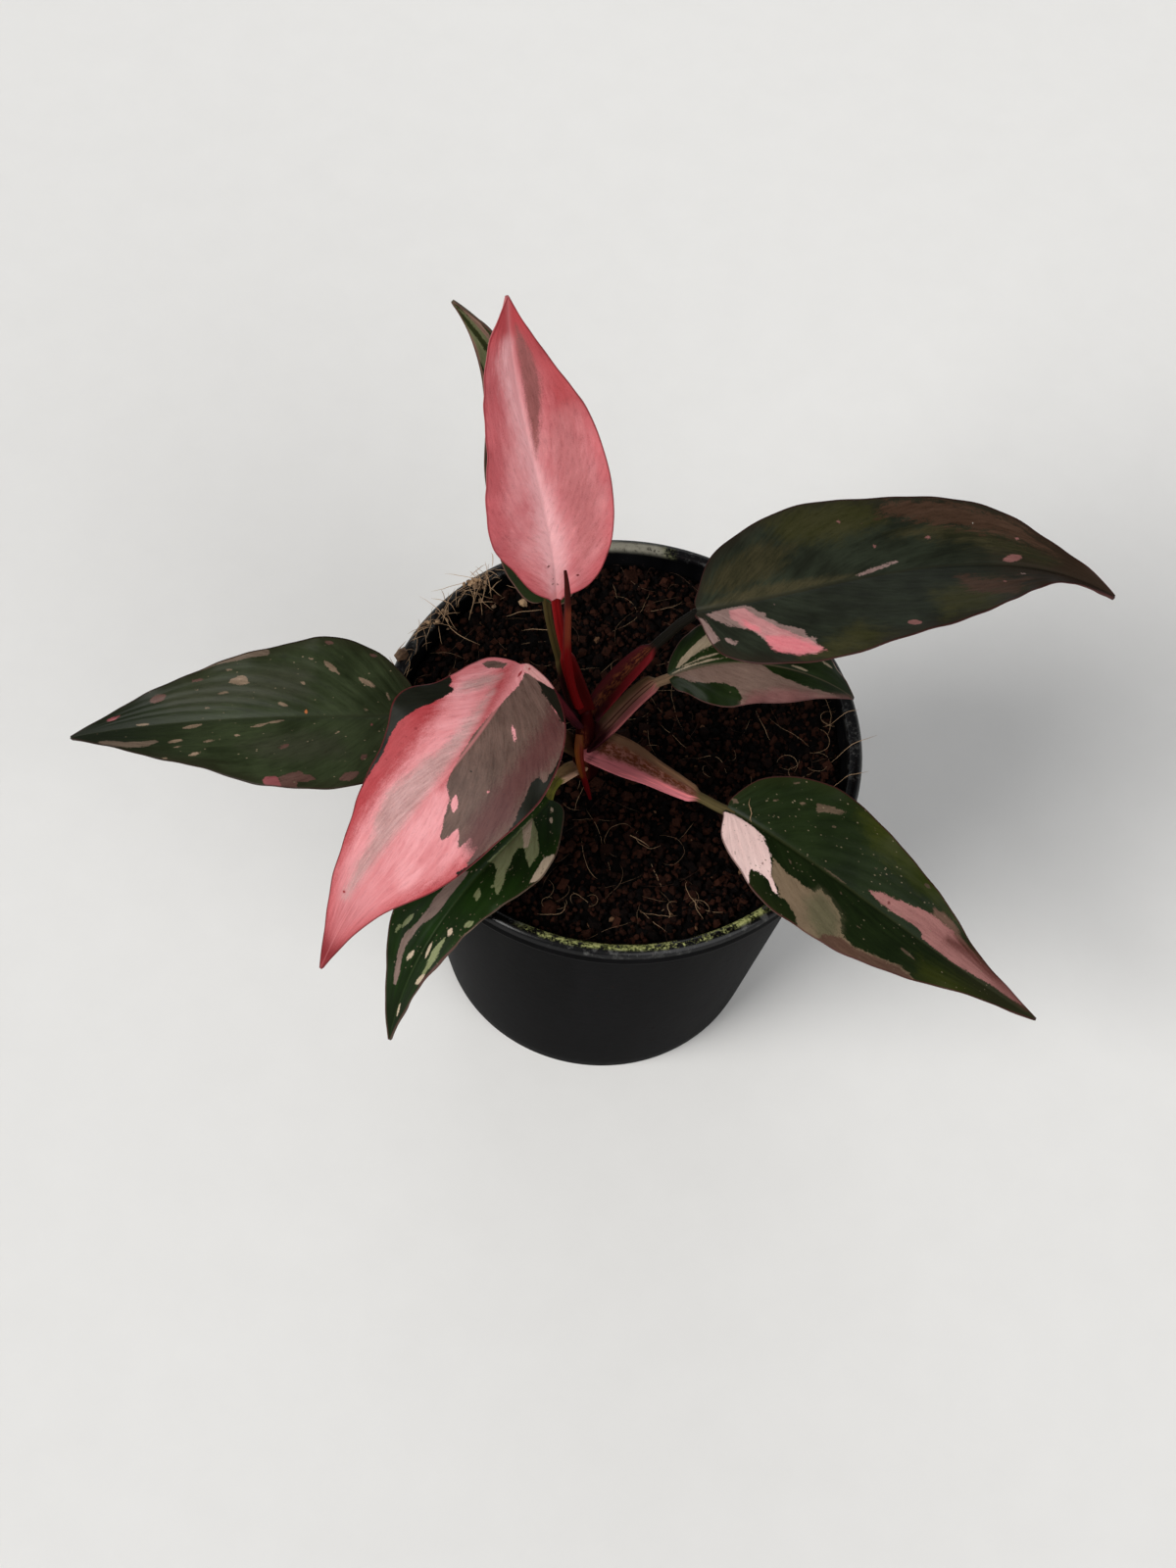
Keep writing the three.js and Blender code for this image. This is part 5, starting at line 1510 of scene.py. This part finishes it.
def fibres():
    """All the fibres: those loose in the mix, the tangled and single straws, those that reach over the
    rim and the strand on the lower right blade."""
    random = np.random.default_rng(5)
    lines = loose_fibres(random) + curled_fibres(random) + tangled_straw(random)
    for start, end in STRAWS:
        heading = math.atan2(end[1] - start[1], end[0] - start[0])
        lines.append((straw_over_rim(start, heading, math.dist(start, end), random), 0.09, 0.95))
    for turn, length in OVER_RIM:
        angle = math.radians(turn)
        start = np.array([math.cos(angle), math.sin(angle)]) * 56
        lines.append((straw_over_rim(start, angle + random.normal(0, 0.5), length, random), 0.08, 0.8))
    lines.append(([on_blade(LOWER_RIGHT, x, y) for x, y in STRAND], 0.08, 1.0))
    points, faces, tones, first = [], [], [], 0
    for line, radius, tone in lines:
        tube_points, tube_sides = tube(line, radius)
        points.append(tube_points)
        faces += [[i + first for i in face] for face in tube_sides]
        tones.append(np.full(len(tube_points), tone))
        first += len(tube_points)
    tone = {"tone": np.concatenate(tones)}
    seat(add_mesh("coir_fibres", np.concatenate(points), faces, STRAW, tone), "potting_mix")


def straw_over_rim(start, heading, length, random, steps=9):
    """A stiff fibre that starts in the mix, lies over the rim and sticks out a little."""
    line = []
    x, y = start
    tilt = random.uniform(0.0, 0.22)
    over = POT["height"] + 0.3
    for k in range(steps + 1):
        ground = float(soil_height(x, y)) + 0.8
        base = ground + (over - ground) * float(smooth(57.0, 62.0, math.hypot(x, y)))
        line.append((x, y, base + tilt * length * k / steps + 0.6 * math.sin(math.pi * k / steps)))
        heading += random.normal(0, 0.1)
        nx, ny = x + length / steps * math.cos(heading), y + length / steps * math.sin(heading)
        if math.hypot(nx, ny) > STRAW_REACH:
            heading += math.pi / 2
            nx, ny = x, y
        x, y = nx, ny
    return line


# ---- Floor, light and camera ----

FLOOR = 9000.0  # half its side
ELEVATION = 60.1  # degrees above level from which the camera looks
CAMERA_ROLL = 6.1
DISTANCE = 700.0  # from the camera to the rim's middle, along its view
PICTURE = (1200.0, 1600.0)  # pixels
FOCAL = 2673.0  # pixels
RIM_MIDDLE = (633.9, 752.0)  # where the rim's middle falls, in pixels from the top left
SENSOR = 36


def floor():
    corners = [(x * FLOOR, y * FLOOR, 0) for x, y in ((-1, -1), (1, -1), (1, 1), (-1, 1))]
    made = add_mesh("floor", corners, [[0, 1, 2, 3]], pale_floor())


def sunlight(name, azimuth, elevation, strength, softness, colour=(1, 1, 1)):
    """Soft parallel light from a side. Azimuth 0 is from the front (-Y) and 90 from the right; this,
    elevation and softness are in degrees."""
    data = bpy.data.lights.new(name, "SUN")
    data.energy = strength
    data.angle = math.radians(softness)
    data.color = colour
    made = bpy.data.objects.new(name, data)
    bpy.context.scene.collection.objects.link(made)
    made.rotation_euler = (math.radians(90 - elevation), 0, math.radians(azimuth))


def lights():
    """A soft key from the front left, a fill from the front right, a weak one from behind, and a pale
    room that is brightest at its horizon."""
    sunlight("key_light", -55, 36, 3.1, 36, (1.0, 0.985, 0.965))
    sunlight("fill_light", 38, 32, 1.35, 50)
    sunlight("back_light", 190, 25, 0.35, 40, (0.97, 0.985, 1.0))
    world = bpy.data.worlds.new("studio")
    world.use_nodes = True
    room = Paint(world.node_tree)
    _, _, height = room.split(room.node("TexCoord", output="Generated"))
    horizon = room.rise(height, 0.30, 0.02)
    shade = room.mix((0.18, 0.183, 0.188), (0.80, 0.81, 0.82), horizon)
    glow = room.node("Background", inputs={"Color": shade, "Strength": 1.0})
    room.node("OutputWorld", inputs={"Surface": glow})
    bpy.context.scene.world = world
    bpy.context.scene.view_settings.view_transform = "Standard"


def camera():
    """The camera looks down on the plant at about 60 degrees, turned a little about its own axis."""
    data = bpy.data.cameras.new("camera")
    made = bpy.data.objects.new("camera", data)
    bpy.context.scene.collection.objects.link(made)
    elevation, roll = math.radians(ELEVATION), math.radians(CAMERA_ROLL)
    ahead = np.array([0, math.cos(elevation), -math.sin(elevation)])
    level, upright = np.array([1.0, 0, 0]), np.array([0, math.sin(elevation), math.cos(elevation)])
    right = math.cos(roll) * level + math.sin(roll) * upright
    up = -math.sin(roll) * level + math.cos(roll) * upright
    aside = (RIM_MIDDLE[0] - PICTURE[0] / 2) / FOCAL * DISTANCE
    above = (PICTURE[1] / 2 - RIM_MIDDLE[1]) / FOCAL * DISTANCE
    eye = np.array([0, 0, POT["height"]]) - ahead * DISTANCE - right * aside - up * above
    turn = Matrix(np.stack([right, up, -ahead], -1).tolist()).to_4x4()
    made.matrix_world = Matrix.Translation((eye * MM).tolist()) @ turn
    data.sensor_width = SENSOR
    data.lens = FOCAL / PICTURE[1] * SENSOR
    data.clip_start = 0.02
    bpy.context.scene.camera = made


# ---- Assembly ----

SOIL_MIX = soil_mix()
STRAW = straw()

camera()
lights()
floor()
pot()
soil()
chips()
fibres()
stem()
for leaf in LEAVES:
    petiole(leaf)
    blade(leaf)
for sheath in CATAPHYLLS:
    cataphyll(sheath)
